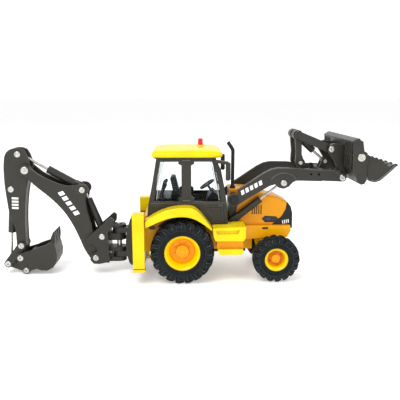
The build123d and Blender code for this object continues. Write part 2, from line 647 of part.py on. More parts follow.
# ======== loader ========
arm_top_edge = [(26.0, 43.0), (37.9, 51.0), (41.5, 52.8), (44.5, 53.4), (52.9, 53.3), (63.7, 52.4),
                (73.4, 52.2), (74.4, 51.2)]
arm_low_edge = [(65.0, 47.0), (55.6, 47.3), (53.2, 47.3), (51.6, 46.4), (50.0, 44.6), (47.6, 43.5),
                (45.2, 44.0), (43.4, 45.6), (41.0, 44.9), (31.1, 39.1), (26.6, 36.2)]
arm_round = 3.0
tip_r = 1.9
pocket_r = 3.3              # the recess in an arm's inner face for the lift rod's eye
pocket_skin = 0.75
for name, side in sides.items():
    with BuildPart() as loader_arm:
        low, high = layer(side, arm_inner, arm_outer)
        slab(arm_top_edge + arm_low_edge, low, high)
        disc(arm_pivot, arm_round, low, high)
        bar((66.0, 49.9), arm_tip, 2.7, tip_r, low, high)
        disc(lift_eye, pocket_r, *layer(side, arm_inner - 1, arm_outer - pocket_skin), mode=Mode.SUBTRACT)
        slab([(47.5, 48.0), (43.0, 44.4), (42.0, 40.0), (50.0, 40.0), (50.5, 45.5)],
             *layer(side, arm_inner - 1, arm_outer - pocket_skin), mode=Mode.SUBTRACT)
        disc(lift_eye, pin_r, *layer(side, arm_inner - 2, arm_outer + 1), mode=Mode.SUBTRACT)
        disc(arm_pivot, pin_r, low, high, mode=Mode.SUBTRACT)
        disc(arm_tip, pin_r, low, high, mode=Mode.SUBTRACT)
        for hole_x in (60.2, 63.8):
            disc((hole_x, 50.3), 0.6, low, high, mode=Mode.SUBTRACT)
    write(loader_arm, "loader_arm_" + name)

tube_r = 1.6
crank_ear_inner = crank_inner - side_gap - 1.4
tilt_lug_inner = eye_half + side_gap
tilt_lug_outer = tilt_lug_inner + 1.2
with BuildPart() as arm_cross_tubes:
    disc(rear_tube, tube_r, -arm_inner, arm_inner)
    disc(front_tube, tube_r, -arm_inner, arm_inner)
    for side in sides.values():
        low, high = layer(side, crank_ear_inner, crank_inner - side_gap)
        bar(rear_tube, crank_foot, tube_r, 1.5, low, high)
        disc(crank_foot, pin_r, low, high, mode=Mode.SUBTRACT)
        low, high = layer(side, tilt_lug_inner, tilt_lug_outer)
        bar(front_tube, tilt_foot, tube_r, eye_r, low, high)
        disc(tilt_foot, pin_r, low, high, mode=Mode.SUBTRACT)
write(arm_cross_tubes, "arm_cross_tubes")

head_r = 1.35
head_t = 0.4
with BuildPart() as loader_pins:
    for side in sides.values():
        disc(arm_pivot, pin_r, *layer(side, hood_half + mast_plate, arm_outer))
        disc(arm_pivot, 2.0, *layer(side, arm_outer, arm_outer + head_t))
        disc(lift_eye, pin_r, *layer(side, arm_outer - pocket_skin, arm_outer))
        disc(lift_eye, head_r, *layer(side, arm_outer, arm_outer + head_t))
        disc(arm_tip, pin_r, *layer(side, coupler_inner, arm_outer))
        disc(arm_tip, head_r, *layer(side, arm_outer, arm_outer + head_t))
        disc(crank_foot, pin_r, *layer(side, crank_ear_inner, crank_outer))
        disc(tilt_foot, pin_r, *layer(side, tilt_lug_inner, tilt_lug_outer))
write(loader_pins, "loader_pins")

lift_length = gap_between(lift_foot, lift_eye)
lift_barrel_end = 16.8
lift_foot_half = 1.5
rod_back = 4.0              # length of rod inside the barrel
with BuildPart() as lift_barrels:
    for side in sides.values():
        ram_barrel(lift_foot, lift_eye, lift_barrel_end, cylinder_r, lift_foot_half, 0, 2.2,
                   side * lift_y)
write(lift_barrels, "lift_barrels")

lift_eye_y = arm_outer - pocket_skin - side_gap
with BuildPart() as lift_rods:
    for side in sides.values():
        rod_start = along(lift_foot, lift_eye, lift_barrel_end - rod_back)
        round_bar(rod_start, along(lift_foot, lift_eye, lift_length - 1.6), rod_r, side * lift_y)
        disc(lift_eye, eye_r - 0.2, *layer(side, lift_y - rod_r, lift_eye_y))
        bar(along(lift_foot, lift_eye, lift_length - 3.0), lift_eye, 0.6, 0.9,
            *layer(side, lift_y - rod_r, lift_y + rod_r))
write(lift_rods, "lift_rods")

boss_half = 1.25
crank_boss_r = 2.2
crank_outline = [(58.7, 54.4), (56.9, 59.0), (56.6, 67.2), (53.4, 67.2), (54.2, 60.0), (54.0, 54.4)]
with BuildPart() as bell_crank:
    for side in sides.values():
        low, high = layer(side, crank_inner, crank_outer)
        slab(crank_outline, low, high)
        disc(crank_foot, 2.2, low, high)
        disc(crank_top, crank_boss_r, *layer(side, boss_half + side_gap, crank_outer))
        disc(crank_foot, pin_hole_r, low, high, mode=Mode.SUBTRACT)
    disc(crank_top, pin_r, -link_outer - 0.3, link_outer + 0.3)
write(bell_crank, "bell_crank")

open_fit = 0.5              # extra radius where a linkage closes on a pin
with BuildPart() as tilt_link:
    for side in sides.values():
        low, high = layer(side, link_inner, link_outer)
        bar(crank_top, link_end, 1.75, 1.9, low, high)
        disc(crank_top, pin_hole_r, low, high, mode=Mode.SUBTRACT)
        disc(link_end, pin_r + open_fit, low, high, mode=Mode.SUBTRACT)
    web_at = along(crank_top, link_end, 11.0)
    disc(web_at, 0.7, -link_inner, link_inner)
write(tilt_link, "tilt_link")

tilt_barrel_end = 12.0
tilt_rod_start = 9.5
with BuildPart() as tilt_barrel:
    ram_barrel(crank_top, tilt_foot, tilt_barrel_end, cylinder_r, boss_half, 0, 2.2)
write(tilt_barrel, "tilt_barrel")

with BuildPart() as tilt_rod:
    ram_rod(crank_top, tilt_foot, tilt_rod_start, eye_r - 0.2, 0)
write(tilt_rod, "tilt_rod")

# ---- quick coupler and four-in-one bucket ----
coupler_outline = [(75.0, 46.6), (77.0, 47.4), (77.7, 50.2), (76.0, 53.4), (75.6, 63.6), (71.2, 64.4),
                   (68.6, 63.4), (68.4, 60.6), (72.6, 54.0), (72.9, 48.2), (73.6, 47.1)]
with BuildPart() as quick_coupler:
    for side in sides.values():
        low, high = layer(side, coupler_inner, coupler_outer)
        slab(coupler_outline, low, high, 0.3)
        disc(arm_tip, pin_hole_r, low, high, mode=Mode.SUBTRACT)
        disc(link_end, pin_r, *layer(side, link_inner, coupler_outer + 0.05))
        disc(link_end, head_r, *layer(side, coupler_outer, coupler_outer + 0.15))
    block(74.0, 75.5, -coupler_inner, coupler_inner, 58.0, 63.0)
write(quick_coupler, "quick_coupler")

back_outer = [(78.9, 67.0), (77.4, 67.6), (75.4, 66.4), (75.62, 63.5), (76.02, 53.4), (77.72, 50.3),
              (78.6, 47.9), (80.2, 47.1), (81.8, 47.6), (82.6, 49.4)]
back_inner = [(82.2, 50.4), (81.0, 48.9), (80.0, 48.9), (79.4, 50.6), (77.5, 54.0), (77.1, 63.6),
              (77.2, 65.2), (78.6, 65.6)]
side_outer = [(80.0, 66.4), (80.8, 62.1), (82.2, 61.4), (82.6, 57.6), (82.2, 54.9), (82.6, 49.4)]
with BuildPart() as loader_bucket:
    slab(back_outer + back_inner, -bucket_half, bucket_half)
    for side in sides.values():
        slab(back_outer[::-1] + side_outer[:-1], *layer(side, bucket_half - bucket_wall, bucket_half))
        hinge_inner = bucket_half - 2 * bucket_wall - side_gap
        disc(clam_hinge, pin_r, *layer(side, hinge_inner, bucket_half + head_t))
        disc(clam_hinge, head_r + 0.1, *layer(side, bucket_half, bucket_half + head_t))
write(loader_bucket, "loader_bucket")

clam_outer_y = bucket_half - bucket_wall - side_gap
clam_side = [(78.9, 61.2), (82.6, 60.4), (85.4, 59.2), (89.1, 57.8), (91.0, 56.5), (93.4, 54.5),
             (95.3, 55.4), (93.7, 53.2), (90.9, 50.6), (88.8, 48.8), (86.5, 48.2), (84.2, 48.8),
             (83.2, 50.2), (83.0, 53.0), (78.8, 57.8)]
clam_floor = [(83.1, 50.4), (84.2, 48.8), (86.5, 48.2), (88.8, 48.8), (90.9, 50.6), (93.7, 53.2),
              (95.8, 55.6), (94.8, 55.6), (92.6, 53.8), (89.8, 51.4), (88.2, 50.0), (86.5, 49.5),
              (85.0, 49.9), (84.2, 51.0)]
clam_tooth = [(91.6, 52.6), (93.9, 53.0), (97.2, 55.5), (96.6, 56.2), (94.2, 55.6), (91.8, 53.4)]
tooth_count = 8
with BuildPart() as clamshell:
    slab(clam_floor, -clam_outer_y, clam_outer_y)
    for side in sides.values():
        slab(clam_side, *layer(side, clam_outer_y - bucket_wall, clam_outer_y))
        disc(clam_hinge, 2.1, *layer(side, clam_outer_y - bucket_wall, clam_outer_y))
        disc(clam_hinge, pin_hole_r, *layer(side, clam_outer_y - bucket_wall - 1, clam_outer_y + 1),
             mode=Mode.SUBTRACT)
    tooth_step = 2 * (clam_outer_y - 1.6) / (tooth_count - 1)
    for tooth in range(tooth_count):
        tooth_y = -clam_outer_y + 1.6 + tooth * tooth_step
        slab(clam_tooth, tooth_y - 0.8, tooth_y + 0.8)
write(clamshell, "clamshell")

# ======== backhoe: side-shift frame, stabilizers ========
frame_back = -20.0
rail_back = -22.3
rail_low = (7.4, 10.0)
rail_high = (23.8, 26.4)
housing_inner = leg_y - leg_half_y - leg_fit - housing_wall
housing_outer = leg_y + leg_half_y + leg_fit + housing_wall
with BuildPart() as rear_frame:
    block(frame_back, chassis_rear, -10.6, 10.6, 6.6, 27.4)
    for z_low, z_high in (rail_low, rail_high):
        block(rail_back, chassis_rear, -housing_inner, housing_inner, z_low, z_high)
write(rear_frame, "rear_frame")

leg_x = -19.95
housing_low = 8.0
housing_high = 33.8
with BuildPart() as stabilizer_housings:
    half_x = leg_half_x + leg_fit + housing_wall
    for side in sides.values():
        y_low, y_high = layer(side, housing_inner, housing_outer)
        block(leg_x - half_x, leg_x + half_x, y_low, y_high, housing_low, housing_high)
        y_low, y_high = layer(side, housing_inner + housing_wall, housing_outer - housing_wall)
        block(leg_x - half_x + housing_wall, leg_x + half_x - housing_wall, y_low, y_high,
              housing_low - 1, housing_high - 1.2, mode=Mode.SUBTRACT)
write(stabilizer_housings, "stabilizer_housings")

pad_z = 1.3
leg_length = 25.0
for name, side in sides.items():
    foot = leg_lift if name == "right" else 0.0
    with BuildPart() as stabilizer_leg:
        block(leg_x - leg_half_x, leg_x + leg_half_x, side * leg_y - leg_half_y, side * leg_y + leg_half_y,
              foot + pad_z, foot + leg_length)
        block(leg_x - 2.8, leg_x + 2.8, side * leg_y - 2.5, side * leg_y + 2.5, foot, foot + pad_z)
    write(stabilizer_leg, "stabilizer_leg_" + name)

carriage_half = 6.4
lug_half = 3.2
lug_levels = ((8.0, 10.6), (20.0, 22.6))
carriage_front = rail_back - side_gap
carriage_top = 27.9
rail_fit = 0.12
carriage_outline = [(carriage_front, carriage_top), (-25.2, carriage_top), (-27.0, 22.0), (-27.7, 16.0),
                    (-27.4, 10.4), (-26.2, 5.8), (-25.2, 4.6), (carriage_front, 4.6)]
with BuildPart() as shift_carriage:
    slab(carriage_outline, -carriage_half, carriage_half)
    for z_low, z_high in ((rail_high[1] + rail_fit, carriage_top), (6.0, rail_low[0] - rail_fit)):
        block(carriage_front - 0.5, frame_back - side_gap - 0.5, -carriage_half, carriage_half, z_low,
              z_high)
    for z_low, z_high in lug_levels:
        block(king_x, -26.4, -lug_half, lug_half, z_low, z_high)
        with BuildSketch(Plane.XY.offset(z_low)) as lug_end:
            with Locations((rear_axle_x + king_x, 0)):
                Circle(lug_half)
        extrude(lug_end.sketch, amount=z_high - z_low)
        with BuildSketch(Plane.XY.offset(z_low)) as lug_hole:
            with Locations((rear_axle_x + king_x, 0)):
                Circle(axle_hole_r)
        extrude(lug_hole.sketch, amount=z_high - z_low, mode=Mode.SUBTRACT)
write(shift_carriage, "shift_carriage")

# ---- swing post ----
cheek_outline = [(-34.6, 28.6), (-33.2, 27.4), (-33.4, 24.6), (-36.6, 20.6), (-36.6, 12.6),
                 (-35.6, 9.0), (-35.8, 6.2), (-41.0, 5.2), (-43.6, 5.4), (-45.2, 7.4), (-44.8, 9.8),
                 (-41.6, 11.6), (-41.4, 13.4), (-43.2, 15.4), (-46.4, 15.8), (-47.0, 17.4), (-45.8, 18.9)]
post_top = 24.0
arm_levels = ((5.6, lug_levels[0][0] - side_gap), (lug_levels[0][1] + side_gap, 12.8),
              (16.4, lug_levels[1][0] - side_gap), (lug_levels[1][1] + side_gap, post_top))
post_arm_half = 3.4
web_front = -36.9
web_back = -36.0
with BuildPart() as swing_post:
    for side in sides.values():
        low, high = layer(side, post_inner, post_half)
        slab(cheek_outline, low, high, 0.35)
        for pivot in (boom_foot, boom_ram_foot):
            disc(pivot, pin_r, low, high, mode=Mode.SUBTRACT)
    block(web_front, web_back, -post_half, post_half, 5.8, post_top)
    for z_low, z_high in arm_levels:
        block(web_front, king_x, -post_arm_half, post_arm_half, z_low, z_high)
        with BuildSketch(Plane.XY.offset(z_low)) as arm_end:
            with Locations((rear_axle_x + king_x, 0)):
                Circle(post_arm_half)
        extrude(arm_end.sketch, amount=z_high - z_low)
    with BuildSketch(Plane.XY.offset(4.0)) as king_hole:
        with Locations((rear_axle_x + king_x, 0)):
            Circle(axle_r)
    extrude(king_hole.sketch, amount=24, mode=Mode.SUBTRACT)
write(swing_post, "swing_post")

with BuildPart() as post_pins:
    with BuildSketch(Plane.XY.offset(5.2)) as king_pin_plan:
        with Locations((rear_axle_x + king_x, 0)):
            Circle(axle_r)
    extrude(king_pin_plan.sketch, amount=19.4)
    for side in sides.values():
        disc(boom_ram_foot, head_r, *layer(side, post_half, post_half + head_t))
        disc(boom_foot, pin_r, *layer(side, boom_inner, post_half))
        disc(boom_foot, head_r, *layer(side, post_half, post_half + head_t))
    disc(boom_ram_foot, pin_r, -post_half, post_half)
write(post_pins, "post_pins")

# ---- boom: a channel, open towards the machine ----
boom_rear_edge = [(-42.6, 5.5), (-45.0, 7.0), (-48.1, 12.0), (-50.4, 18.2), (-53.0, 24.4), (-56.6, 30.6),
                  (-60.4, 35.2), (-64.5, 39.1), (-70.0, 43.6)]
boom_outline = [(-45.0, 42.4), (-46.6, 37.0), (-45.6, 30.0), (-43.6, 21.5), (-40.6, 10.6), (-39.6, 8.2),
                (-40.4, 6.2)] + boom_rear_edge + [
                (-72.6, 46.4), (-74.0, 53.6), (-71.6, 52.0), (-68.7, 49.4), (-64.0, 47.3), (-59.7, 45.3),
                (-55.5, 43.9), (-51.4, 44.0), (-49.0, 45.0), (-46.6, 44.8)]
boom_back = boom_rear_edge + [(-69.0, 44.9), (-63.5, 40.3), (-59.3, 36.2), (-55.4, 31.4), (-51.7, 25.0),
                              (-49.0, 18.6), (-46.9, 12.6), (-45.6, 10.6), (-45.2, 9.4)]
boom_foot_r = 2.8
dipper_boss_r = 2.6
with BuildPart() as boom:
    for side in sides.values():
        low, high = layer(side, boom_inner, boom_half)
        slab(boom_outline, low, high)
        disc(boom_foot, boom_foot_r, low, high)
        disc(dipper_pivot, dipper_boss_r, low, high)
        disc(boom_top, 2.9, low, high)
        disc(boom_foot, pin_hole_r, low, high, mode=Mode.SUBTRACT)
        disc(boom_top, pin_r, low, high, mode=Mode.SUBTRACT)
        disc(dipper_pivot, pin_r, low, high, mode=Mode.SUBTRACT)
    slab(boom_back, -boom_inner, boom_inner)
write(boom, "boom")

with BuildPart() as boom_pins:
    for side in sides.values():
        disc(boom_top, pin_r, *layer(side, eye_half + side_gap, boom_half))
        disc(boom_top, head_r, *layer(side, boom_half, boom_half + head_t))
        disc(dipper_pivot, head_r + 0.35, *layer(side, boom_half, boom_half + head_t))
    disc(dipper_pivot, pin_r, -boom_half, boom_half)
write(boom_pins, "boom_pins")

# ---- dipper: a box with the cylinder slots in its top and back ----
dipper_outline = [(-84.4, 58.2), (-82.9, 60.5), (-80.2, 61.8), (-77.4, 61.9), (-75.0, 61.0),
                  (-73.7, 58.8), (-72.7, 55.6), (-72.4, 51.4), (-73.4, 48.2), (-75.2, 41.1),
                  (-76.3, 33.6), (-76.9, 26.0), (-77.0, 18.3), (-77.1, 10.4), (-77.9, 6.8),
                  (-80.0, 6.2), (-81.4, 8.0), (-81.6, 23.0), (-83.9, 28.1), (-84.7, 36.6),
                  (-85.3, 44.0), (-85.2, 53.0)]
slot_top = [(-81.8, 63.0), (-82.0, 57.0), (-79.2, 55.9), (-71.0, 51.4), (-68.0, 51.4), (-68.0, 63.0)]
slot_back = [(-86.0, 45.6), (-80.3, 45.6), (-80.0, 40.0), (-82.0, 20.0), (-86.0, 20.0)]
with BuildPart() as dipper:
    slab(dipper_outline, -dipper_half, dipper_half)
    slab(slot_top, -slot_half, slot_half, mode=Mode.SUBTRACT)
    slab(slot_back, -slot_half, slot_half, mode=Mode.SUBTRACT)
    for pivot in (dipper_ram_eye, bucket_ram_foot, guide_pivot):
        disc(pivot, pin_r, -dipper_half, dipper_half, mode=Mode.SUBTRACT)
    disc(dipper_pivot, pin_hole_r, -dipper_half, dipper_half, mode=Mode.SUBTRACT)
    disc(hoe_pivot, pin_hole_r, -dipper_half, dipper_half, mode=Mode.SUBTRACT)
write(dipper, "dipper")

with BuildPart() as dipper_pins:
    for side in sides.values():
        disc(dipper_ram_eye, pin_r, *layer(side, slot_half, dipper_half))
        disc(dipper_ram_eye, head_r, *layer(side, dipper_half, dipper_half + head_t))
        disc(bucket_ram_foot, head_r, *layer(side, dipper_half, dipper_half + head_t))
        disc(guide_pivot, head_r, *layer(side, guide_outer + 0.1, guide_outer + 0.1 + head_t))
    disc(bucket_ram_foot, pin_r, -dipper_half, dipper_half)
    disc(guide_pivot, pin_r, -guide_outer - 0.1, guide_outer + 0.1)
write(dipper_pins, "dipper_pins")


# ---- backhoe cylinders ----
with BuildPart() as boom_barrel:
    ram_barrel(boom_ram_foot, boom_top, 19.0, 1.75, 1.9, 0, 0.6)
write(boom_barrel, "boom_barrel")
with BuildPart() as boom_rod:
    ram_rod(boom_ram_foot, boom_top, 4.7, 1.4, 0, 0.8)
write(boom_rod, "boom_rod")
with BuildPart() as dipper_barrel:
    ram_barrel(boom_top, dipper_ram_eye, 19.4, 1.9, 2.4, eye_half + side_gap, 3.2)
write(dipper_barrel, "dipper_barrel")
with BuildPart() as dipper_rod:
    ram_rod(boom_top, dipper_ram_eye, 12.2, 1.5, 0)
write(dipper_rod, "dipper_rod")
with BuildPart() as bucket_barrel:
    ram_barrel(bucket_ram_foot, guide_end, 22.0, 1.75, 1.9, 0, 0.6)
write(bucket_barrel, "bucket_barrel")
with BuildPart() as bucket_rod:
    ram_rod(bucket_ram_foot, guide_end, 10.0, 2.0, pin_r + open_fit, 0.8)
write(bucket_rod, "bucket_rod")

# ---- bucket linkage and backhoe bucket ----
with BuildPart() as guide_links:
    for side in sides.values():
        low, high = layer(side, guide_inner, guide_outer)
        bar(guide_pivot, guide_end, 1.9, 1.9, low, high)
        disc(guide_pivot, pin_hole_r, low, high, mode=Mode.SUBTRACT)
        disc(guide_end, head_r, *layer(side, guide_outer, guide_outer + head_t))
    disc(guide_end, pin_r, -guide_outer, guide_outer)
write(guide_links, "guide_links")

fork_gap = 0.8 + side_gap
with BuildPart() as bucket_link:
    bar(guide_end, hoe_link_pin, 1.6, 1.9, -guide_inner + side_gap, guide_inner - side_gap)
    disc(guide_end, 3.2, -fork_gap, fork_gap, mode=Mode.SUBTRACT)
    disc(guide_end, pin_hole_r, -guide_outer, guide_outer, mode=Mode.SUBTRACT)
    disc(hoe_link_pin, pin_r + open_fit, -guide_outer, guide_outer, mode=Mode.SUBTRACT)
write(bucket_link, "bucket_link")

hoe_outer = [(-74.6, 11.4), (-74.9, 4.6), (-74.0, 2.2), (-71.7, 2.9), (-69.4, 2.1), (-66.3, 2.0),
             (-63.5, 3.6), (-61.7, 6.9), (-61.3, 10.0), (-62.1, 14.1), (-63.2, 17.4), (-64.5, 16.2)]
hoe_mouth = [(-67.0, 14.7), (-70.9, 13.4), (-73.4, 12.4)]
hoe_inner = [(-64.0, 16.4), (-63.3, 13.9), (-62.6, 10.0), (-62.9, 7.3), (-64.2, 4.8), (-66.4, 3.4),
             (-69.3, 3.4), (-71.4, 4.3), (-73.3, 3.8), (-73.7, 5.0), (-73.4, 11.2)]
hoe_ear = [(-80.6, 10.2), (-74.0, 12.2), (-73.8, 3.0), (-75.6, 0.6), (-77.8, 0.4), (-80.8, 6.8)]
hoe_tooth = [(-62.4, 14.6), (-61.9, 18.0), (-62.1, 21.4), (-62.8, 21.3), (-64.0, 18.6), (-64.1, 15.8)]
hoe_teeth = 4
with BuildPart() as hoe_bucket:
    slab(hoe_outer[:-1] + hoe_inner, -hoe_bucket_half, hoe_bucket_half)
    for side in sides.values():
        slab(hoe_outer + hoe_mouth, *layer(side, hoe_bucket_half - ear_plate, hoe_bucket_half))
        low, high = layer(side, ear_inner, ear_outer)
        slab(hoe_ear, low, high)
        disc(hoe_pivot, 2.4, low, high)
        disc(hoe_link_pin, 1.8, low, high)
        disc(hoe_pivot, head_r, *layer(side, ear_outer, ear_outer + head_t))
        disc(hoe_link_pin, head_r - 0.1, *layer(side, ear_outer, ear_outer + head_t))
    disc(hoe_pivot, pin_r, -ear_inner - 0.1, ear_inner + 0.1)
    disc(hoe_link_pin, pin_r, -ear_inner - 0.1, ear_inner + 0.1)
    teeth_step = 2 * (hoe_bucket_half - 1.3) / (hoe_teeth - 1)
    for tooth in range(hoe_teeth):
        tooth_y = -hoe_bucket_half + 1.3 + tooth * teeth_step
        slab(hoe_tooth, tooth_y - 0.75, tooth_y + 0.75)
write(hoe_bucket, "hoe_bucket")
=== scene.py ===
import json
import math

import bmesh
import bpy
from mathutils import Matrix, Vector


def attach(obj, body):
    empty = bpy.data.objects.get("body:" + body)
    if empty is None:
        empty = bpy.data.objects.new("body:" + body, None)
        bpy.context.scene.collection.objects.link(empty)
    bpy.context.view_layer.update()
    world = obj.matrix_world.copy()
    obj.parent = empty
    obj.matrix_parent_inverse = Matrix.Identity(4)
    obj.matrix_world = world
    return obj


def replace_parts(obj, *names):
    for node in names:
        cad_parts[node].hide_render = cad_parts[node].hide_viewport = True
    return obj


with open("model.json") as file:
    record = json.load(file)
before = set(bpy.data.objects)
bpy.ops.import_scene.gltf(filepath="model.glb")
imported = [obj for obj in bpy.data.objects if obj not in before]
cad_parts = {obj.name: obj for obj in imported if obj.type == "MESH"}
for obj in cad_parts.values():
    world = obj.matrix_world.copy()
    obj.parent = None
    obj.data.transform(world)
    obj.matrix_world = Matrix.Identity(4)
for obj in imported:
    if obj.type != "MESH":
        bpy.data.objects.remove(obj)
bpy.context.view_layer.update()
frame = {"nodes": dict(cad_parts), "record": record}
nodes = frame["nodes"]

# Lengths are in millimetres, but the floor, lamps and camera are in metres. x counts from the rear axle and
# z from the ground.
MM = 0.001
AXLE_X = -4.6               # the rear axle's x in the frame
RIGHT, LEFT = -1, 1
SIDES = (RIGHT, LEFT)
ARM_OUTER = 13.15
COUPLER_OUTER = 10.8
BUCKET_HALF = 24.0
POST_HALF = 6.6
BOOM_HALF = 4.9
DIPPER_HALF = 3.3
GUIDE_OUTER = 4.5
EAR_OUTER = 6.0
CAB_HALF = 15.0
FENDER_HALF = 22.0
HOOD_HALF = 7.0
RAIL_HALF = 9.2
BOOM_INNER = 3.5
SLOT_HALF = 2.1

# Pins, as (x, z).
ARM_PIVOT, LIFT_EYE, ARM_TIP = (24.4, 38.2), (47.5, 46.2), (75.0, 48.7)
COUPLER_PIN, CLAM_HINGE = (69.9, 61.7), (79.6, 59.3)
BOOM_RAM_FOOT, BOOM_FOOT = (-39.0, 19.1), (-42.4, 8.4)
BOOM_RAM_EYE, DIPPER_PIVOT = (-48.0, 41.8), (-74.7, 51.4)
DIPPER_RAM_EYE, BUCKET_RAM_FOOT, GUIDE_FOOT = (-78.1, 58.9), (-82.3, 42.05), (-78.85, 14.07)
GUIDE_END, HOE_PIVOT, HOE_LINK_PIN = (-85.93, 4.98), (-79.24, 8.35), (-76.82, 2.02)

# A wheel stands on the ground, so its axle's height is its tyre's radius too.
REAR_WHEEL = {"x": 0.0, "z": 14.9, "y": 17.3, "width": 9.3, "rim": 8.9, "dish": 4.4}
FRONT_WHEEL = {"x": 44.0, "z": 11.0, "y": 17.1, "width": 6.8, "rim": 5.9, "dish": 3.4}


def point(x, z, y):
    """A place in the frame, in metres."""
    return Vector(((AXLE_X + x) * MM, y * MM, z * MM))


# ---------------------------------------------------------------- materials
YELLOW = (0.95, 0.69, 0.0)
ORANGE = (0.90, 0.36, 0.0)
RED_ORANGE = (0.62, 0.155, 0.004)
DARK = (0.026, 0.0245, 0.018)
BLACK = (0.006, 0.0065, 0.007)
RUBBER = (0.004, 0.0065, 0.0075)
STEEL = (0.62, 0.61, 0.57)
FRAME_ORANGE = (0.95, 0.43, 0.0)
# Painted shade: the chassis orange as dark as it looks inside the wheel wells.
WELL_SHADE_BROWN = (0.42, 0.12, 0.004)
# The lighter rim colour of yellow paint: partly wear, partly a painted highlight.
YELLOW_WEAR_AND_HIGHLIGHT = (1.0, 0.9, 0.4)
STEP_ORANGE_LOW, STEP_ORANGE_HIGH = 16.45, 20.75     # the orange band of the side steps
GLOSS_COATED, GLOSS_BARE = 0.2, 0.42


class Shader:
    """A node material built one step at a time."""

    def __init__(self, name):
        self.material = bpy.data.materials.new(name)
        self.material.use_nodes = True
        self.tree = self.material.node_tree
        self.bsdf = self.tree.nodes["Principled BSDF"]
        self.coords = self.tree.nodes.new("ShaderNodeTexCoord")

    def node(self, kind, **values):
        made = self.tree.nodes.new(kind)
        for key, value in values.items():
            setattr(made, key, value)
        return made

    def link(self, source, target):
        self.tree.links.new(source, target)

    def noise(self, scale, detail=4.0, roughness=0.55):
        texture = self.node("ShaderNodeTexNoise")
        texture.inputs["Scale"].default_value = scale
        texture.inputs["Detail"].default_value = detail
        texture.inputs["Roughness"].default_value = roughness
        self.link(self.coords.outputs["Object"], texture.inputs["Vector"])
        return texture.outputs["Fac"]

    def ramp(self, source, low, high, from_value=0.0, to_value=1.0):
        step = self.node("ShaderNodeMapRange")
        step.inputs["From Min"].default_value = low
        step.inputs["From Max"].default_value = high
        step.inputs["To Min"].default_value = from_value
        step.inputs["To Max"].default_value = to_value
        self.link(source, step.inputs["Value"])
        return step.outputs["Result"]

    def mix(self, factor, first, second):
        blender = self.node("ShaderNodeMix", data_type="RGBA")
        for key, value in (("Factor", factor), ("A", first), ("B", second)):
            socket = [s for s in blender.inputs if s.name == key and s.enabled][0]
            if isinstance(value, tuple):
                socket.default_value = (*value, 1.0)
            elif isinstance(value, float):
                socket.default_value = value
            else:
                self.link(value, socket)
        return [s for s in blender.outputs if s.enabled][0]

    def math(self, operation, first, second):
        made = self.node("ShaderNodeMath", operation=operation)
        for socket, value in zip(made.inputs, (first, second)):
            if isinstance(value, (int, float)):
                socket.default_value = value
            else:
                self.link(value, socket)
        return made.outputs[0]

    def soft_edges(self, radius):
        """The rounded normal of a cast part's edges, and a mask that is 1 along them."""
        bevel = self.node("ShaderNodeBevel", samples=4)
        bevel.inputs["Radius"].default_value = radius * MM
        shape = self.node("ShaderNodeNewGeometry")
        turn = self.node("ShaderNodeVectorMath", operation="DOT_PRODUCT")
        self.link(bevel.outputs["Normal"], turn.inputs[0])
        self.link(shape.outputs["Normal"], turn.inputs[1])
        return bevel.outputs["Normal"], self.ramp(turn.outputs["Value"], 0.995, 0.80)

    def bump(self, height, strength, normal=None, distance=0.1):
        made = self.node("ShaderNodeBump")
        made.inputs["Strength"].default_value = strength
        made.inputs["Distance"].default_value = distance * MM
        self.link(height, made.inputs["Height"])
        if normal is not None:
            self.link(normal, made.inputs["Normal"])
        self.link(made.outputs["Normal"], self.bsdf.inputs["Normal"])

    def paint_corner_shade(self, colour, depth, strength, shade_tint=(0.02, 0.015, 0.008)):
        """Paints shade into corners and joints: darkens the colour where ambient occlusion is low."""
        shade = self.node("ShaderNodeAmbientOcclusion", samples=4)
        shade.inputs["Distance"].default_value = depth * MM
        return self.mix(self.ramp(shade.outputs["AO"], 0.25, 0.9, strength, 0.0), colour, shade_tint)


def cast_paint(name, colour, rough=0.34, coat=0.12, edge=(1.0, 1.0, 1.0), wear_and_highlight_amount=0.1,
               grain=900.0, grain_depth=0.05, vary=0.06):
    """Thick toy enamel on a die-cast or moulded part: soft edges, faint mottling, rims lightened partly by
    wear and partly as a painted highlight, and painted shade in its corners.
    """
    made = Shader(name)
    normal, rims = made.soft_edges(0.28)
    darker = tuple(c * (1 - 2.2 * vary) for c in colour)
    body = made.mix(made.ramp(made.noise(85.0), 0.35, 0.65), darker, colour)
    # Rims lighten towards the edge colour, partly as wear and partly as a painted highlight.
    scuffs_and_highlights = made.math("MULTIPLY", rims, made.ramp(made.noise(260.0), 0.38, 0.62))
    body = made.mix(made.math("MULTIPLY", scuffs_and_highlights, wear_and_highlight_amount), body, edge)
    # Painted shade: corners darken towards a brown tint of the paint's own colour.
    body = made.paint_corner_shade(body, 2.2, 0.55, (0.45 * colour[0], 0.22 * colour[1], 0.25 * colour[2]))
    made.link(body, made.bsdf.inputs["Base Color"])
    made.link(made.ramp(made.noise(420.0), 0.3, 0.7, rough - 0.06, rough + 0.08),
              made.bsdf.inputs["Roughness"])
    made.bsdf.inputs["Coat Weight"].default_value = coat
    made.bsdf.inputs["Coat Roughness"].default_value = 0.12
    made.bsdf.inputs["Specular IOR Level"].default_value = GLOSS_COATED if coat > 0.0 else GLOSS_BARE
    made.bump(made.noise(grain, 2.0), 0.35, normal, grain_depth)
    return made


def round_mask(made, wheel, radius):
    """1 inside a radius round a wheel's axle."""
    split = made.node("ShaderNodeSeparateXYZ")
    made.link(made.coords.outputs["Object"], split.inputs[0])
    across = made.math("SUBTRACT", split.outputs["X"], (AXLE_X + wheel["x"]) * MM)
    up = made.math("SUBTRACT", split.outputs["Z"], wheel["z"] * MM)
    squares = made.math("ADD", made.math("MULTIPLY", across, across), made.math("MULTIPLY", up, up))
    return made.ramp(made.math("SQRT", squares, 0.0), radius * MM, (radius + 0.15) * MM, 1.0, 0.0)


def repaint(made, mask, colour):
    """Puts another colour where a mask is 1, in place of the material's colour, its worn and highlighted rims
    and its painted corner shade.
    """
    socket = made.bsdf.inputs["Base Color"]
    source = socket.links[0].from_socket
    made.link(made.mix(mask, source, colour), socket)


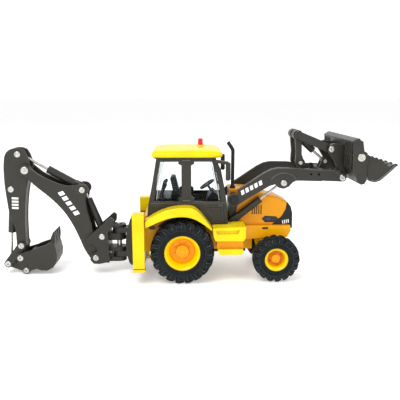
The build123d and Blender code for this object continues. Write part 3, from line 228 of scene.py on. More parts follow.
def rim_paint(name, wheel, radius, inner_radius):
    """A yellow rim with an orange dish; a darker ring lies outside the inner radius, unless that is 0."""
    made = cast_paint(name, YELLOW, rough=0.3, edge=YELLOW_WEAR_AND_HIGHLIGHT)
    repaint(made, round_mask(made, wheel, radius), ORANGE)
    if inner_radius > 0:
        ring = made.math("SUBTRACT", round_mask(made, wheel, radius - 0.5),
                         round_mask(made, wheel, inner_radius))
        repaint(made, made.math("MULTIPLY", ring, 0.75), RED_ORANGE)
    return made.material


def height_band(made, low, high):
    """1 between two heights above the ground."""
    split = made.node("ShaderNodeSeparateXYZ")
    made.link(made.coords.outputs["Object"], split.inputs[0])
    above = made.math("GREATER_THAN", split.outputs["Z"], low * MM)
    below = made.math("LESS_THAN", split.outputs["Z"], high * MM)
    return made.math("MULTIPLY", above, below)


def metal(name, colour, rough):
    """Plated steel with a fine grain, small stains and painted shade in its corners."""
    made = Shader(name)
    normal = made.soft_edges(0.15)[0]
    stain = made.ramp(made.noise(380.0, 6.0), 0.42, 0.75)
    body = made.mix(stain, colour, tuple(c * 0.62 for c in colour))
    # Painted shade: corners darken where ambient occlusion is low.
    body = made.paint_corner_shade(body, 0.8, 0.5)
    made.link(body, made.bsdf.inputs["Base Color"])
    made.bsdf.inputs["Metallic"].default_value = 0.9
    made.link(made.ramp(made.noise(900.0), 0.3, 0.7, rough - 0.08, rough + 0.12),
              made.bsdf.inputs["Roughness"])
    made.bump(made.noise(2400.0, 2.0), 0.3, normal, 0.03)
    return made.material


def plastic(name, colour, rough):
    """Moulded plastic with a fine grain, greyer along its edges."""
    made = Shader(name)
    normal, rims = made.soft_edges(0.2)
    body = made.mix(made.ramp(made.noise(150.0), 0.35, 0.7), colour, tuple(c * 1.4 + 0.001 for c in colour))
    body = made.mix(made.math("MULTIPLY", rims, 0.25), body, (0.10, 0.10, 0.09))
    made.link(body, made.bsdf.inputs["Base Color"])
    made.bsdf.inputs["Specular IOR Level"].default_value = 0.35
    made.link(made.ramp(made.noise(500.0), 0.3, 0.7, rough - 0.08, rough + 0.1),
              made.bsdf.inputs["Roughness"])
    made.bump(made.noise(1500.0, 3.0), 0.5, normal, 0.05)
    return made.material


def clear(name):
    """The thin clear moulding of the cab's windows, with a few fine scratches."""
    made = Shader(name)
    made.bsdf.inputs["Base Color"].default_value = (0.93, 0.96, 0.97, 1.0)
    made.bsdf.inputs["Transmission Weight"].default_value = 1.0
    made.bsdf.inputs["IOR"].default_value = 1.12
    made.link(made.ramp(made.noise(350.0, 6.0), 0.5, 0.8, 0.02, 0.16), made.bsdf.inputs["Roughness"])
    made.bump(made.noise(60.0, 1.0), 0.06, None, 0.05)
    return made.material


def rubber(name):
    """Matt black rubber, greyer along its edges and cleats as a painted highlight."""
    made = Shader(name)
    normal, rims = made.soft_edges(0.2)
    body = made.mix(made.ramp(made.noise(240.0), 0.35, 0.7), RUBBER, tuple(c * 2.0 for c in RUBBER))
    # Painted highlight: edges and cleats lighten to grey.
    body = made.mix(made.math("MULTIPLY", rims, 0.75), body, (0.20, 0.205, 0.21))
    made.link(body, made.bsdf.inputs["Base Color"])
    made.bsdf.inputs["Specular IOR Level"].default_value = 0.16
    made.link(made.ramp(made.noise(700.0), 0.3, 0.7, 0.36, 0.56), made.bsdf.inputs["Roughness"])
    made.bump(made.noise(1800.0, 3.0), 0.6, normal, 0.06)
    return made.material


yellow = cast_paint("yellow_enamel", YELLOW, rough=0.3, edge=YELLOW_WEAR_AND_HIGHLIGHT).material
orange = cast_paint("orange_enamel", ORANGE, rough=0.32, edge=(1.0, 0.6, 0.15), wear_and_highlight_amount=0.2).material
# Its rims lighten strongly, partly as wear and partly as a painted highlight.
dark = cast_paint("dark_enamel", DARK, rough=0.42, coat=0.0, edge=(0.20, 0.19, 0.14),
                  wear_and_highlight_amount=0.5, grain=1400.0, grain_depth=0.07, vary=0.1).material
badge_blue = plastic("badge_blue", (0.03, 0.05, 0.09), 0.4)
# Lighter dark enamel for ribs, trims, edge lines and the cutting edge: partly wear, partly a painted
# highlight.
worn_and_sheen = cast_paint("worn_and_sheen_dark_enamel", (0.10, 0.097, 0.08), rough=0.45, coat=0.0, edge=(0.3, 0.29, 0.24),
                  wear_and_highlight_amount=0.6, vary=0.12).material
black = plastic("black_plastic", BLACK, 0.42)
chrome = metal("nickel_plate", STEEL, 0.27)
glass = clear("window_clear")
tyre = rubber("tyre_rubber")
red = plastic("red_lens", (0.72, 0.012, 0.02), 0.25)
white = plastic("white_print", (0.82, 0.82, 0.80), 0.4)
rear_rim = rim_paint("rear_rim_enamel", REAR_WHEEL, 6.1, 0)
front_rim = rim_paint("front_rim_enamel", FRONT_WHEEL, 3.9, 2.3)
step_shader = cast_paint("step_enamel", YELLOW, rough=0.3, edge=YELLOW_WEAR_AND_HIGHLIGHT)
repaint(step_shader, height_band(step_shader, STEP_ORANGE_LOW, STEP_ORANGE_HIGH), ORANGE)
steps = step_shader.material

looks = {
    "orange_paint": orange, "yellow_paint": yellow, "dark_paint": dark, "black_plastic": black,
    "bright_steel": chrome, "clear_plastic": glass, "red_plastic": red, "tyre_rubber": tyre,
}
frame_orange = cast_paint("frame_enamel", FRAME_ORANGE, rough=0.32, edge=(1.0, 0.7, 0.15),
                          wear_and_highlight_amount=0.2).material
well_shade = cast_paint("wheel_well_shade_enamel", WELL_SHADE_BROWN, rough=0.5, coat=0.0, edge=(0.8, 0.4, 0.05)).material
own_looks = {
    "chassis_frame": frame_orange, "rear_rims": rear_rim, "front_rim_right": front_rim,
    "front_rim_left": front_rim, "side_steps": steps,
}
slot_of = {entry["node"]: entry["material_slot"] for entry in frame["record"]["subparts"]}
for name, item in nodes.items():
    for index in range(len(item.material_slots)):
        item.material_slots[index].material = own_looks.get(name, looks[slot_of[name]])


# ---------------------------------------------------------------- mesh helpers
def settle(name, mesh, body, material, smooth_angle=38.0, bevel=0.0):
    """Turns a bmesh in metres into a piece that rides on a body."""
    bmesh.ops.recalc_face_normals(mesh, faces=mesh.faces)
    data = bpy.data.meshes.new(name)
    mesh.to_mesh(data)
    mesh.free()
    item = bpy.data.objects.new(name, data)
    bpy.context.scene.collection.objects.link(item)
    data.materials.append(material)
    for face in data.polygons:
        face.use_smooth = True
    data.set_sharp_from_angle(angle=math.radians(smooth_angle))
    if bevel > 0:
        rounding = item.modifiers.new("edges", "BEVEL")
        rounding.width = bevel * MM
        rounding.segments = 2
        rounding.limit_method = "ANGLE"
        rounding.angle_limit = math.radians(smooth_angle)
        rounding.harden_normals = True
    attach(item, body)
    return item


def loft(mesh, rings):
    """A closed skin through rings of the same number of points."""
    made = [[mesh.verts.new(p) for p in ring] for ring in rings]
    count = len(made[0])
    for low, high in zip(made, made[1:]):
        for i in range(count):
            j = (i + 1) % count
            mesh.faces.new((low[i], low[j], high[j], high[i]))
    mesh.faces.new(made[0][::-1])
    mesh.faces.new(made[-1])


def soften(outline, corner, gentle=38.0, bend=40.0, steps=4):
    """Rounds an outline: slight turns melt into a curve, real corners get a small radius."""
    made = []
    count = len(outline)
    for i in range(count):
        before, here, after = (Vector(outline[(i + k) % count]) for k in (-1, 0, 1))
        come, leave = here - before, after - here
        turn = come.angle(leave, 0.0)
        radius = bend if turn < math.radians(gentle) else corner
        reach = min(radius * math.tan(turn / 2), 0.46 * come.length, 0.46 * leave.length)
        start, end = here - come.normalized() * reach, here + leave.normalized() * reach
        for k in range(steps + 1):
            t = k / steps
            made.append(start * (1 - t) ** 2 + here * 2 * t * (1 - t) + end * t ** 2)
    return [p for i, p in enumerate(made) if (p - made[i - 1]).length > 0.02]


def inset(outline, amount):
    """The outline moved inwards by an amount."""
    area = sum(a[0] * b[1] - b[0] * a[1] for a, b in zip(outline, outline[1:] + outline[:1]))
    turn = 1 if area > 0 else -1
    made = []
    for i, here in enumerate(outline):
        come = (Vector(here) - Vector(outline[i - 1])).normalized()
        leave = (Vector(outline[(i + 1) % len(outline)]) - Vector(here)).normalized()
        way = come + leave
        inward = Vector((-way.y, way.x)).normalized() * turn
        reach = amount / max(0.5, inward.dot(Vector((-come.y, come.x)) * turn))
        made.append(Vector(here) + inward * reach)
    return made


def plate(mesh, outline, y_low, y_high, edge=0.0):
    """A flat piece between two y values, with chamfered edges if asked."""
    rings = [(outline, y_low), (outline, y_high)]
    if edge > 0:
        small = inset(outline, edge)
        rings = [(small, y_low), (outline, y_low + edge), (outline, y_high - edge), (small, y_high)]
    loft(mesh, [[point(p[0], p[1], y) for p in ring] for ring, y in rings])


def layer(side, inner, outer):
    """The low and the high y of a layer on one side of the vehicle."""
    return min(side * inner, side * outer), max(side * inner, side * outer)


def turned(mesh, x, z, profile, side, count=28):
    """A solid turned about an axis across the vehicle; profile is (radius, y)."""
    rings = []
    for radius, y in profile:
        ring = []
        for i in range(count):
            angle = 2 * math.pi * i / count
            ring.append(point(x + radius * math.cos(angle), z + radius * math.sin(angle), side * y))
        rings.append(ring)
    loft(mesh, rings)


def rod(mesh, path, radius, count=10):
    """A round bar along points in the frame, capped at both ends."""
    rings = []
    for i, here in enumerate(path):
        ahead = path[min(i + 1, len(path) - 1)] - path[max(i - 1, 0)]
        across = ahead.cross(Vector((0, 1, 0)))
        if across.length < 1e-9:
            across = Vector((1, 0, 0))
        across.normalize()
        other = ahead.cross(across).normalized()
        rings.append([here + (across * math.cos(2 * math.pi * k / count)
                              + other * math.sin(2 * math.pi * k / count)) * radius * MM
                      for k in range(count)])
    loft(mesh, rings)


def upright(mesh, x, y, profile, count=32, ribs=0.0):
    """A solid turned about an upright axis; profile is (radius, z)."""
    rings = []
    for radius, z in profile:
        ring = []
        for i in range(count):
            angle = 2 * math.pi * i / count
            r = radius - (ribs if i % 4 in (0, 1) else 0.0)
            ring.append(point(x + r * math.cos(angle), z, y + r * math.sin(angle)))
        rings.append(ring)
    loft(mesh, rings)


# ---------------------------------------------------------------- tyres with cleats
def tyre_mesh(mesh, wheel, side, cleat_count, cleat_rise, cleat_width):
    """A tyre turned round its axle, with two rows of slanting cleats."""
    tyre_r = wheel["z"]
    mid, half, rim = wheel["y"], wheel["width"] / 2, wheel["rim"]
    crown = tyre_r - cleat_rise
    shoulder = crown - 0.13 * tyre_r
    lip = 0.065 * rim
    profile = [(rim - 0.5, mid - half + 2.1), (rim + 0.05, mid - half + 0.9), (rim + 0.7, mid - half + 0.25),
               (rim + 1.6, mid - half), (shoulder - 0.8, mid - half + 0.1), (shoulder, mid - half + 0.35),
               (crown - 0.5, mid - half + 1.1), (crown, mid - half + 2.2), (crown + 0.1, mid),
               (crown, mid + half - 2.2), (crown - 0.5, mid + half - 1.1), (shoulder, mid + half - 0.35),
               (shoulder - 0.8, mid + half - 0.1), (rim + 1.9, mid + half), (rim + 1.75, mid + half - 0.12),
               (rim + 1.45, mid + half - 0.12), (rim + 1.3, mid + half), (rim + 0.5, mid + half - 0.08),
               (rim - lip + 0.1, mid + half - 0.3), (rim - lip, mid + half - 0.45),
               (rim - lip + 0.1, mid + half - 0.66), (rim + 0.05, mid + half - 0.68),
               (rim + 0.05, mid + half - 0.9), (rim - 0.5, mid + half - 2.1)]
    count = 96
    rings = []
    for i in range(count):
        angle = 2 * math.pi * i / count
        rings.append([mesh.verts.new(point(wheel["x"] + r * math.cos(angle), wheel["z"] + r * math.sin(angle),
                                           side * y)) for r, y in profile])
    for i in range(count):
        low, high = rings[i], rings[(i + 1) % count]
        for k in range(len(profile)):
            n = (k + 1) % len(profile)
            mesh.faces.new((low[k], low[n], high[n], high[k]))
    stations = [(0.0, -0.25, tyre_r), (0.35, 0.4, tyre_r), (0.7, 0.76, tyre_r - 0.1),
                (0.9, 0.94, tyre_r - 0.55), (1.0, 1.0, shoulder + 0.35)]
    for half_side in (-1, 1):
        for i in range(cleat_count):
            start = 2 * math.pi * (i + (0.5 if half_side > 0 else 0.0)) / cleat_count
            cleat = []
            for along, out, radius in stations:
                angle = start + CLEAT_SWEEP * along
                y = side * (mid + half_side * out * (half - 0.12))
                lean = cleat_width / 2 / tyre_r
                base = min(radius - 0.5, crown - 0.35) if along < 1 else shoulder - 1.4
                wide, thin = lean * 1.25, lean * 0.85
                corners = ((base, -wide), (radius, -thin), (radius, thin), (base, wide))
                cleat.append([point(wheel["x"] + r * math.cos(angle + w),
                                    wheel["z"] + r * math.sin(angle + w), y) for r, w in corners])
            loft(mesh, cleat)


CLEAT_SWEEP = -0.30
for name, wheel, sides, count, rise, width, replaced, body in (
        ("rear_tyres_cleated", REAR_WHEEL, SIDES, 19, 1.05, 1.7, "rear_tyres", "rear_wheels"),
        ("front_tyre_right_cleated", FRONT_WHEEL, (RIGHT,), 17, 0.8, 1.3, "front_tyre_right",
         "front_wheel_right"),
        ("front_tyre_left_cleated", FRONT_WHEEL, (LEFT,), 17, 0.8, 1.3, "front_tyre_left",
         "front_wheel_left")):
    work = bmesh.new()
    for side in sides:
        tyre_mesh(work, wheel, side, count, rise, width)
    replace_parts(settle(name, work, body, tyre, 45.0), replaced)


# ---------------------------------------------------------------- rim details
def rim_details(name, wheel, sides, body, bolt_ring, bolts, bolt_r, hub_r, material):
    """Bolt heads round the disc of a wheel, and its hub cap."""
    work = bmesh.new()
    outer = wheel["y"] + wheel["width"] / 2 - 0.7
    dish = outer - wheel["dish"]
    hub = dish + 1.6
    for side in sides:
        for i in range(bolts):
            angle = 2 * math.pi * (i + 0.5) / bolts
            x = wheel["x"] + bolt_ring * math.cos(angle)
            z = wheel["z"] + bolt_ring * math.sin(angle)
            turned(work, x, z, [(bolt_r, dish - 0.3), (bolt_r, dish + 0.35), (bolt_r * 0.75, dish + 0.55),
                                (bolt_r * 0.3, dish + 0.62)], side, 12)
        cap = [(hub_r, hub - 0.4), (hub_r, hub + 0.1), (hub_r * 0.86, hub + 0.28), (hub_r * 0.55, hub + 0.3),
               (hub_r * 0.5, hub + 0.12), (hub_r * 0.1, hub + 0.12)]
        turned(work, wheel["x"], wheel["z"], cap, side, 32)
    settle(name, work, body, material, 40.0)


rim_details("rear_hub_bolts", REAR_WHEEL, SIDES, "rear_wheels", 3.75, 8, 0.62, 2.35, rear_rim)
for name, side in (("right", RIGHT), ("left", LEFT)):
    rim_details("front_hub_bolts_" + name, FRONT_WHEEL, (side,), "front_wheel_" + name, 2.85, 6, 0.32, 1.55,
                front_rim)


# ---------------------------------------------------------------- rivets
def rivets(name, body, places, material=chrome):
    """Round rivet heads with a small dimple; places are (x, z, face, radius, height)."""
    work = bmesh.new()
    for side in SIDES:
        for x, z, face, radius, height in places:
            turned(work, x, z, [(radius, face - 0.05), (radius, face + 0.3 * height),
                                (radius * 0.93, face + 0.68 * height), (radius * 0.72, face + 0.93 * height),
                                (radius * 0.42, face + height), (radius * 0.3, face + 0.93 * height),
                                (radius * 0.22, face + 0.72 * height), (radius * 0.05, face + 0.66 * height)],
                   side, 28)
    settle(name, work, body, material, 60.0)


rivets("arm_rivets", "loader_arms", [(*LIFT_EYE, ARM_OUTER, 1.5, 0.6), (*ARM_TIP, ARM_OUTER, 1.5, 0.6)])
rivets("arm_pivot_caps", "loader_arms", [(*ARM_PIVOT, ARM_OUTER, 2.2, 0.62)], black)
rivets("coupler_rivets", "loader_bucket", [(*COUPLER_PIN, COUPLER_OUTER, 1.5, 0.55)])
rivets("clam_rivets", "loader_bucket", [(*CLAM_HINGE, BUCKET_HALF, 1.75, 0.4)])
rivets("post_rivets", "post", [(*BOOM_RAM_FOOT, POST_HALF, 1.5, 0.6), (*BOOM_FOOT, POST_HALF, 1.5, 0.6)])
rivets("boom_rivets", "boom", [(*BOOM_RAM_EYE, BOOM_HALF, 1.5, 0.6), (*DIPPER_PIVOT, BOOM_HALF, 1.85, 0.6)])
rivets("dipper_rivets", "dipper", [(*DIPPER_RAM_EYE, DIPPER_HALF, 1.5, 0.55),
                                   (*BUCKET_RAM_FOOT, DIPPER_HALF, 1.5, 0.55),
                                   (*GUIDE_FOOT, GUIDE_OUTER + 0.1, 1.5, 0.55)])
rivets("guide_rivets", "guide_links", [(*GUIDE_END, GUIDE_OUTER, 1.5, 0.55)])
rivets("hoe_rivets", "hoe_bucket", [(*HOE_PIVOT, EAR_OUTER, 1.5, 0.55),
                                    (*HOE_LINK_PIN, EAR_OUTER, 1.4, 0.55)])

# ---------------------------------------------------------------- fenders
FENDER_TOP = [(-17.0, 30.1), (-14.4, 31.9), (-9.9, 34.4), (-4.5, 36.1), (1.4, 36.6), (5.2, 36.3),
              (7.9, 34.2), (10.9, 30.5), (13.9, 26.4)]
FENDER_UNDER = [(13.5, 25.6), (10.3, 28.3), (6.4, 30.9), (1.8, 32.3), (-4.5, 32.0), (-9.9, 30.2),
                (-17.0, 26.9)]
work = bmesh.new()
face_outline = soften(FENDER_TOP + FENDER_UNDER, 0.5)
skin_under = [(x, z - 1.2) for x, z in FENDER_TOP[::-1]]
skin_outline = soften(FENDER_TOP + skin_under, 0.4)
for side in SIDES:
    plate(work, face_outline, *layer(side, FENDER_HALF - 1.2, FENDER_HALF), 0.35)
    plate(work, skin_outline, *layer(side, CAB_HALF, FENDER_HALF - 0.6))
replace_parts(settle("rear_fenders_smooth", work, "chassis", yellow, 30.0), "rear_fenders")


# ---------------------------------------------------------------- roof
ROOF_X, ROOF_HALF_LENGTH, ROOF_HALF_WIDTH = 2.35, 16.4, 15.9
BEACON_X = 8.9


def rounded_ring(centre_x, half_x, half_y, radius, z, steps=8):
    """A level rectangle with round corners."""
    ring = []
    for quarter in range(4):
        cx = (1, -1, -1, 1)[quarter] * (half_x - radius)
        cy = (1, 1, -1, -1)[quarter] * (half_y - radius)
        for i in range(steps + 1):
            angle = math.pi / 2 * (quarter + i / steps)
            ring.append(point(centre_x + cx + radius * math.cos(angle), z, cy + radius * math.sin(angle)))
    return ring


work = bmesh.new()
roof_rings = [(0.5, 58.5, 3.0, 0.0), (0.12, 58.9, 3.2, 0.0), (0.0, 59.5, 3.4, 0.0), (0.1, 60.2, 3.5, 0.0),
              (0.6, 60.9, 3.6, 0.05), (1.6, 61.5, 3.8, 0.1), (3.2, 62.0, 4.0, 0.2), (5.2, 62.3, 4.0, 0.2),
              (8.0, 62.46, 4.0, 0.2), (11.0, 62.5, 3.5, 0.2)]
loft(work, [rounded_ring(ROOF_X - shift, ROOF_HALF_LENGTH - step_in, ROOF_HALF_WIDTH - step_in, radius, z)
            for step_in, z, radius, shift in roof_rings])
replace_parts(settle("roof_dome", work, "chassis", yellow, 50.0), "roof")

work = bmesh.new()
trim = [(-13.5, 59.3), (-13.2, 58.3), (-11.9, 57.7), (-11.0, 58.4), (-11.0, 59.2)]
plate(work, soften(trim, 0.3), -13.6, 13.6)
plate(work, soften([(-11.4, 58.45), (15.6, 58.45), (15.6, 57.9), (-11.4, 57.9)], 0.2), -CAB_HALF - 0.25,
      CAB_HALF + 0.25)
settle("roof_trim", work, "chassis", dark, 38.0, 0.15)

work = bmesh.new()
upright(work, BEACON_X, 0.0, [(1.22, 62.9), (1.22, 63.4), (1.1, 65.7), (0.95, 66.0), (0.3, 66.08)], ribs=0.07)
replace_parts(settle("beacon_lens", work, "chassis", red, 50.0), "beacon")
work = bmesh.new()
upright(work, BEACON_X, 0.0, [(1.7, 62.3), (1.7, 62.6), (1.45, 62.95), (1.2, 63.0)])
settle("beacon_base", work, "chassis", yellow, 40.0)

# ---------------------------------------------------------------- arm ribs and painted highlight lines, plates and plain marks
work = bmesh.new()
# The arch and tip ribs are drawn in a lighter enamel, as a painted highlight.
for side in SIDES:
    arch = [point(47.5 + 6.2 * math.cos(a), 46.0 + 5.0 * math.sin(a), side * (ARM_OUTER + 0.02))
            for a in [math.radians(20 + 7 * i) for i in range(21)]]
    rod(work, arch, 0.24)
    tip_rib = ((71.6, 51.4), (73.0, 50.6), (73.9, 49.6))
    rod(work, [point(x, z, side * ARM_OUTER) for x, z in tip_rib], 0.16)
# A rod along each arm's top edge paints the highlight there.
for side in SIDES:
    crest = [(26.4, 43.0), (37.9, 50.75), (41.5, 52.5), (44.5, 53.15), (52.9, 53.05), (63.7, 52.15),
             (71.4, 51.95)]
    rod(work, [point(x, z, side * (ARM_OUTER - 0.08)) for x, z in crest], 0.16)
settle("arm_ribs_and_highlight_lines", work, "loader_arms", worn_and_sheen, 60.0)


def marks(name, body, face, strokes, material, rise=0.06):
    """Plain flat marks on the outer faces of a pair of plates."""
    made = bmesh.new()
    for side in SIDES:
        for outline in strokes:
            plate(made, outline, *layer(side, face - 0.02, face + rise))
    settle(name, made, body, material)


def bars(start, end, count, length, slant, gap):
    """Slanted bars in a row from start to end."""
    first, last = Vector(start), Vector(end)
    way = (last - first).normalized()
    across = Vector((-way.y, way.x))
    pitch = (last - first).length / count
    made = []
    for i in range(count):
        low = first + way * pitch * i
        high = low + across * length + way * slant
        made.append([low, low + way * (pitch - gap), high + way * (pitch - gap), high])
    return made


marks("arm_marks", "loader_arms", ARM_OUTER, bars((27.9, 40.5), (38.2, 46.0), 5, 2.1, 0.5, 0.75), white)
marks("boom_marks", "boom", BOOM_HALF, bars((-59.6, 40.6), (-51.4, 28.6), 5, 2.5, 0.6, 0.9), white)
marks("dipper_marks", "dipper", DIPPER_HALF, bars((-82.2, 38.2), (-82.5, 31.9), 4, 3.2, 0.0, 0.6), white)
marks("rail_badges", "chassis", RAIL_HALF,
      [soften([(38.4, 24.0), (41.4, 24.1), (41.2, 23.1), (38.6, 23.0)], 0.2)], dark)
marks("hood_badges", "chassis", HOOD_HALF,
      [soften([(38.4, 27.7), (40.0, 29.2), (45.4, 28.9), (46.6, 27.8), (45.0, 26.0), (40.2, 25.9)], 0.3)],
      dark)
marks("hood_badge_centres", "chassis", HOOD_HALF + 0.06,
      [soften([(40.2, 27.6), (41.6, 28.5), (43.0, 27.5), (41.6, 26.6)], 0.3)], badge_blue, 0.04)
marks("nose_marks", "chassis", HOOD_HALF + 0.15, bars((48.6, 25.1), (52.2, 25.8), 4, 1.8, 0.1, 0.45), white)

# ---------------------------------------------------------------- window edges and panel trims
work = bmesh.new()
for side in SIDES:
    y = side * (CAB_HALF - 1.3)
    for line in (((-11.9, 38.4), (-10.9, 46.0), (-9.1, 56.4)),
                 ((17.3, 38.4), (16.6, 43.4), (15.0, 51.2), (13.2, 56.4))):
        rod(work, [point(x, z, y) for x, z in line], 0.13, 6)
settle("window_edges", work, "chassis", white, 60.0)

work = bmesh.new()
for side in SIDES:
    y = side * (CAB_HALF + 0.02)
    rod(work, [point(-14.9, 37.3, y), point(20.2, 37.3, y)], 0.16)
    rod(work, [point(0.2, 38.4, y), point(3.9, 38.4, y)], 0.35)
    rod(work, [point(0.3, 57.2, y), point(3.8, 57.2, y)], 0.3)
    rod(work, [point(11.3, 34.6, y), point(18.6, 34.6, y), point(19.1, 28.0, y), point(16.0, 28.0, y),
               point(11.3, 34.6, y)], 0.1)
    rod(work, [point(17.2, 36.2, y), point(18.8, 36.2, y)], 0.28)
settle("cab_trims", work, "chassis", worn_and_sheen, 60.0)

# ---------------------------------------------------------------- backhoe boom and dipper, smooth castings
BOOM_REAR = [(-42.6, 5.5), (-45.0, 7.0), (-48.1, 12.0), (-50.4, 18.2), (-53.0, 24.4), (-56.6, 30.6),
             (-60.4, 35.2), (-64.5, 39.1), (-70.0, 43.6)]
BOOM_FACE = [(-45.6, 41.6), (-46.6, 37.0), (-45.6, 30.0), (-43.6, 21.5), (-40.4, 10.6), (-39.7, 8.2),
             (-40.4, 6.2)] + BOOM_REAR + [(-75.0, 48.7), (-76.8, 49.9), (-77.1, 52.3), (-75.6, 53.9),
             (-72.6, 53.2), (-68.7, 49.6), (-64.0, 47.1), (-59.7, 45.1), (-55.5, 43.9), (-51.6, 43.9),
             (-49.4, 44.8), (-47.0, 44.5)]
BOOM_BACK = BOOM_REAR + [(-69.0, 44.9), (-63.5, 40.3), (-59.3, 36.2), (-55.4, 31.4), (-51.7, 25.0),
                         (-49.0, 18.6), (-46.9, 12.6), (-45.6, 10.6), (-45.2, 9.4)]
work = bmesh.new()
for side in SIDES:
    plate(work, soften(BOOM_FACE, 1.2, bend=60.0), *layer(side, BOOM_INNER, BOOM_HALF), 0.3)
    for pin, wide, narrow, shoulder, top in ((BOOM_FOOT, 2.75, 2.5, -0.25, -0.05),
                                             (BOOM_RAM_EYE, 2.85, 2.6, -0.2, 0.08),
                                             (DIPPER_PIVOT, 2.7, 2.4, 0.0, 0.14)):
        turned(work, *pin, [(wide, BOOM_INNER + 0.1), (wide, BOOM_HALF + shoulder),
                            (narrow, BOOM_HALF + top)], side)
plate(work, soften(BOOM_BACK, 0.4, bend=60.0), -BOOM_INNER - 0.1, BOOM_INNER + 0.1)
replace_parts(settle("boom_casting", work, "boom", dark, 30.0), "boom")

DIPPER_FACE = [(-84.4, 58.2), (-82.9, 60.5), (-80.2, 61.8), (-77.4, 61.9), (-75.0, 61.0), (-73.7, 58.8),
               (-72.7, 55.6), (-72.4, 51.4), (-73.4, 48.2), (-75.2, 41.1), (-76.3, 33.6), (-76.9, 26.0),
               (-77.0, 18.3), (-77.1, 10.4), (-77.9, 6.8), (-80.0, 6.2), (-81.4, 8.0), (-81.6, 23.0),
               (-83.9, 28.1), (-84.7, 36.6), (-85.3, 44.0), (-85.2, 53.0)]
DIPPER_CORE = [(-82.0, 56.8), (-79.2, 55.7), (-73.0, 52.2), (-72.6, 51.0), (-73.6, 48.2), (-75.4, 41.1),
               (-76.5, 33.6), (-77.1, 26.0), (-77.2, 18.3), (-77.3, 10.4), (-78.1, 7.2), (-80.0, 6.6),
               (-81.0, 8.2), (-81.3, 20.0), (-82.0, 20.2), (-80.0, 40.0), (-80.3, 45.6), (-84.9, 45.8),
               (-84.9, 53.0), (-84.2, 57.0)]
work = bmesh.new()
for side in SIDES:
    plate(work, soften(DIPPER_FACE, 1.0, bend=60.0), *layer(side, SLOT_HALF, DIPPER_HALF), 0.3)
plate(work, DIPPER_CORE, -SLOT_HALF - 0.1, SLOT_HALF + 0.1)
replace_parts(settle("dipper_casting", work, "dipper", dark, 30.0), "dipper")

# ---------------------------------------------------------------- loader bucket, ribs, lip and cutting edge
BACK_OUTER = [(78.9, 67.0), (77.4, 67.6), (75.4, 66.4), (75.62, 63.5), (76.02, 53.4), (77.72, 50.3),
              (78.6, 47.9), (80.2, 47.1), (81.8, 47.6), (82.6, 49.4)]
BACK_INNER = [(82.2, 50.4), (81.0, 48.9), (80.0, 48.9), (79.4, 50.6), (77.5, 54.0), (77.1, 63.6),
              (77.2, 65.2), (78.6, 65.6)]
SIDE_OUTER = [(80.0, 66.4), (80.8, 62.1), (82.2, 61.4), (82.6, 57.6), (82.2, 54.9), (82.6, 49.4)]
work = bmesh.new()
plate(work, BACK_OUTER + BACK_INNER, -BUCKET_HALF + 0.2, BUCKET_HALF - 0.2)
side_face = soften(BACK_OUTER[::-1] + SIDE_OUTER[:-1], 0.5)
for side in SIDES:
    plate(work, side_face, *layer(side, BUCKET_HALF - 1.4, BUCKET_HALF), 0.25)
    for y in (13.6, 16.4, 19.2, 22.0):
        plate(work, [(75.1, 54.6), (75.9, 53.6), (75.9, 65.2), (75.2, 65.6)], side * y - 0.3, side * y + 0.3)
rod(work, [point(78.0, 67.0, -BUCKET_HALF + 0.3), point(78.0, 67.0, BUCKET_HALF - 0.3)], 0.75, 12)
rod(work, [point(75.75, 60.2, -BUCKET_HALF + 0.3), point(75.75, 60.2, -11.0)], 0.35, 8)
rod(work, [point(75.75, 60.2, 11.0), point(75.75, 60.2, BUCKET_HALF - 0.3)], 0.35, 8)
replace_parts(settle("loader_bucket_casting", work, "loader_bucket", dark, 30.0), "loader_bucket")

work = bmesh.new()
edge_line = [(84.6, 48.4), (86.6, 47.9), (89.0, 48.6), (91.1, 50.4), (93.9, 53.0), (96.3, 55.4), (95.2, 55.7),
             (93.2, 53.6), (90.5, 51.2), (88.5, 49.5), (86.5, 48.8), (85.1, 49.3)]
plate(work, edge_line, -22.7, 22.7, 0.15)
settle("clam_cutting_edge", work, "clam", worn_and_sheen, 30.0)

# ---------------------------------------------------------------- wheel wells in painted shade, vent and hole shadows, painted highlight lines on the boom
work = bmesh.new()
WELL_R = 16.2
arch = [(WELL_R * math.cos(math.radians(a)), REAR_WHEEL["z"] + WELL_R * math.sin(math.radians(a)))
        for a in range(20, 141, 10)]
under_fender = [(12.9, 25.2), (10.0, 30.2), (7.4, 33.1), (5.0, 34.9), (1.4, 35.3), (-4.5, 34.8),
                (-9.9, 33.1), (-14.4, 30.6), (-15.6, 29.8)]
# Plates inside the wheel arches, in a dark brown that paints the shade there.
for side in SIDES:
    plate(work, arch[::-1] + under_fender, *layer(side, CAB_HALF + 0.05, CAB_HALF + 0.3))
settle("wheel_well_shade_liners", work, "chassis", well_shade, 30.0)

VENT_COUNT, VENT_X, VENT_PITCH, VENT_WIDTH = 5, 33.6, 1.05, 0.5
VENT_LOW, VENT_HIGH = 30.0, 34.4
work = bmesh.new()
for side in SIDES:
    for i in range(VENT_COUNT):
        x = VENT_X + VENT_PITCH * i
        slit = [(x, VENT_LOW), (x + VENT_WIDTH, VENT_LOW), (x + VENT_WIDTH, VENT_HIGH), (x, VENT_HIGH)]
        plate(work, slit, *layer(side, HOOD_HALF - 0.9, HOOD_HALF - 0.25))
settle("hood_vent_shadows", work, "chassis", black, 60.0)

# Lighter rods along the boom's top edge paint the highlight there.
work = bmesh.new()
for side in SIDES:
    boom_crest = ((-73.4, 53.2), (-71.6, 51.9), (-68.7, 49.5), (-66.4, 48.2), (-64.0, 47.05),
                  (-59.7, 45.05), (-55.5, 43.95), (-51.8, 43.95))
    rod(work, [point(x, z, side * (BOOM_HALF - 0.1)) for x, z in boom_crest], 0.14)
settle("boom_crest_highlight_lines", work, "boom", worn_and_sheen, 60.0)

work = bmesh.new()
for side in SIDES:
    for x in (60.2, 63.8):
        turned(work, x, 50.3, [(0.72, ARM_OUTER - 1.9), (0.72, ARM_OUTER - 1.2)], side, 16)
settle("arm_hole_shadows", work, "loader_arms", black, 60.0)

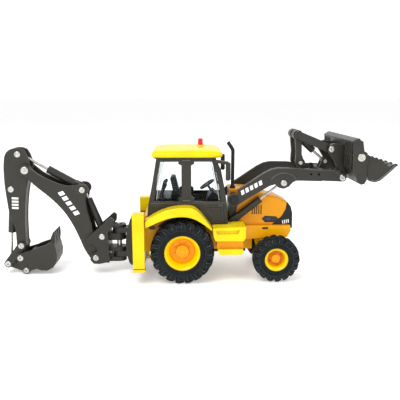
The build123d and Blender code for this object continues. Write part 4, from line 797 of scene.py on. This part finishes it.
# ---------------------------------------------------------------- floor, light and camera
floor_mesh = bpy.data.meshes.new("floor")
reach = 30.0                # metres, past where the view ends
floor_mesh.from_pydata([(-reach, -reach, 0), (reach, -reach, 0), (reach, reach, 0), (-reach, reach, 0)], [],
                       [(0, 1, 2, 3)])
floor = bpy.data.objects.new("floor", floor_mesh)
bpy.context.scene.collection.objects.link(floor)
floor_look = Shader("floor_paper")
floor_look.link(floor_look.mix(floor_look.ramp(floor_look.noise(3.0), 0.3, 0.7), (0.93, 0.93, 0.93),
                               (0.96, 0.96, 0.96)), floor_look.bsdf.inputs["Base Color"])
floor_look.bsdf.inputs["Roughness"].default_value = 0.55
floor_look.bsdf.inputs["Emission Color"].default_value = (1.0, 1.0, 1.0, 1.0)
floor_look.bsdf.inputs["Emission Strength"].default_value = 0.26
floor_mesh.materials.append(floor_look.material)

world = bpy.data.worlds.new("studio")
world.use_nodes = True
sky = world.node_tree
sky_coords = sky.nodes.new("ShaderNodeTexCoord")
sky_split = sky.nodes.new("ShaderNodeSeparateXYZ")
sky_fade = sky.nodes.new("ShaderNodeMapRange")
for socket, value in (("From Min", 0.42), ("From Max", 0.8), ("To Min", 1.06), ("To Max", 0.5)):
    sky_fade.inputs[socket].default_value = value
sky.links.new(sky_coords.outputs["Generated"], sky_split.inputs[0])
sky.links.new(sky_split.outputs["Z"], sky_fade.inputs["Value"])
sky.links.new(sky_fade.outputs["Result"], sky.nodes["Background"].inputs["Strength"])
sky.nodes["Background"].inputs["Color"].default_value = (1.0, 1.0, 1.0, 1.0)
bpy.context.scene.world = world
bpy.context.scene.view_settings.view_transform = "Standard"

LAMP_AIM = Vector((0.0, 0.0, 0.03))
for name, place, size, power in (("key", (-0.2, -0.3, 0.6), 0.35, 2.6),
                                 ("fill", (0.5, -0.4, 0.35), 0.4, 0.45),
                                 ("back", (0.1, 0.45, 0.5), 0.5, 1.0)):
    lamp = bpy.data.lights.new(name, "AREA")
    lamp.size = size
    lamp.energy = power
    lamp_object = bpy.data.objects.new(name, lamp)
    lamp_object.location = place
    aim = LAMP_AIM - Vector(place)
    lamp_object.rotation_euler = aim.to_track_quat("-Z", "Y").to_euler()
    bpy.context.scene.collection.objects.link(lamp_object)

camera_data = bpy.data.cameras.new("camera")
camera_data.lens = 45.5
camera_data.clip_start = 0.005
camera = bpy.data.objects.new("camera", camera_data)
camera.location = (-0.0023, -0.24469, 0.08578)
look_at = Vector((0.00412, 0.0, 0.0357))
camera.rotation_euler = (look_at - camera.location).to_track_quat("-Z", "Y").to_euler()
bpy.context.scene.collection.objects.link(camera)
bpy.context.scene.camera = camera
